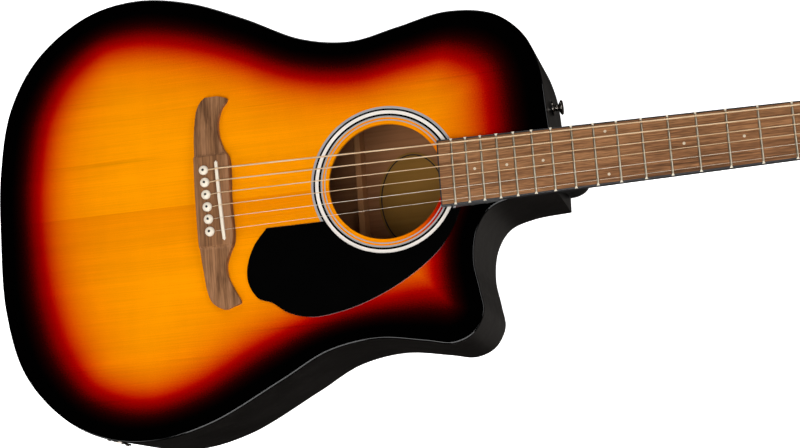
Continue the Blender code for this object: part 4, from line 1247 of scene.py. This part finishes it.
def make_jack_details():
    for i, x in enumerate((-8.8, 8.8)):
        screw(f"jack_screw_{i + 1}", JACK, (x, 0, 1.3), 2.0, "jack_metal", depth=1.0)
    ring = rounded_profile([(3.7, -0.9), (5.0, -0.9), (5.0, 1.8), (3.7, 1.8), (3.7, -0.9)], 0.3)
    rings = round_rings(ring, 48)
    loft("jack_ring_nut", rings, "steel", "jack_metal", sharp=40, cap_ends=False, place=JACK)


# ---------------------------------------------------------------- the stage
def make_stage():
    """A pale floor, five soft lamps and a dim room."""
    bm = bmesh.new()
    edges = (-7000, 7000)
    grid_into(bm, [[(x, y, 0) for y in edges] for x in edges], closed_loop=False, cap_ends=False)
    floor = added("floor", finished(bm, "floor"))
    s = Shader("floor_pale", 0.9, specular=0.0)
    s.colour((0.94, 0.94, 0.94))
    s.feed(s.surface.inputs["Emission Color"], (1, 1, 1))
    # The floor shines faintly, and looks plain white where the camera sees it.
    seen = s.node("ShaderNodeLightPath").outputs["Is Camera Ray"]
    s.feed(s.surface.inputs["Emission Strength"], s.grey(seen, 0.12, 1.0, 0.0, 1.0))
    floor.data.materials.append(s.material)
    # The gloss of the dark lacquer keeps clear of the pale floor.
    floor.visible_glossy = False
    lamps = (
        ("overhead", (0.1, -0.9, 2.2), (1.3, 1.3), 37.5),
        ("key", (-1.5, -1.9, 1.9), (1.5, 1.5), 28),
        ("right", (2.4, 0.2, 1.8), (1.6, 1.6), 30),
        ("back", (-0.4, 2.7, 1.7), (1.6, 1.6), 32),
        ("low_strip", (0.8, -2.3, 0.6), (2.2, 0.45), 14),
    )
    for name, spot, (width, height), power in lamps:
        data = bpy.data.lights.new(name, "AREA")
        data.shape = "RECTANGLE"
        data.size, data.size_y = width, height
        data.energy = power
        lamp = added(name, data)
        lamp.location = spot
        lamp.rotation_mode = "QUATERNION"
        lamp.rotation_quaternion = (Vector((0.1, 0, 0.05)) - Vector(spot)).to_track_quat("-Z", "Y")
    world = bpy.data.worlds.new("studio")
    room = NodeTree(world)
    background = room.tree.nodes["Background"]
    room.feed(background.inputs["Color"], (1, 0.93, 0.86))
    # The room is dim, and a little brighter low down on the side of the head.
    axes = room.node("ShaderNodeSeparateXYZ", {0: room.node("ShaderNodeTexCoord").outputs["Generated"]})
    glow = room.grey(axes.outputs["X"], 0.0, 0.095, -0.05, 0.3)
    low = room.maths("LESS_THAN", axes.outputs["Z"], 0.0)
    total = room.node("ShaderNodeMath", {0: glow, 1: low, 2: 0.007}, operation="MULTIPLY_ADD")
    room.feed(background.inputs["Strength"], total.outputs[0])
    bpy.context.scene.world = world
    bpy.context.scene.view_settings.view_transform = "Standard"


def make_camera():
    """The camera over the neck, which looks down on the soundboard."""
    data = bpy.data.cameras.new("camera")
    data.sensor_width = 36.0
    data.lens = 79.417
    data.clip_start, data.clip_end = 0.05, 50
    camera = added("camera", data)
    right = (0.97229, -0.07084, -0.22278)
    down = (-0.11229, -0.97737, -0.17930)
    forward = (-0.20504, 0.19935, -0.95824)
    turn = Matrix((right, [-c for c in down], [-c for c in forward])).transposed().to_4x4()
    camera.matrix_world = REST @ shift(455.67, -332.39, 1414.71) @ turn
    bpy.context.scene.camera = camera


def main():
    outline = spline([*OUTLINE_KNOTS, CORNER], 16)[:-1]
    make_camera()
    make_stage()
    make_soundboard(outline)
    make_rosette()
    make_sides(outline)
    dress_inner_parts()
    make_back_lining(outline)
    for make in (
        make_guard, make_bridge, make_saddle, make_pins, make_board, make_frets, make_dots, make_nut,
        make_neck, make_head, make_strings, make_tuners, make_strap_buttons, make_preamp_details,
        make_jack_details,
    ):
        make()


main()
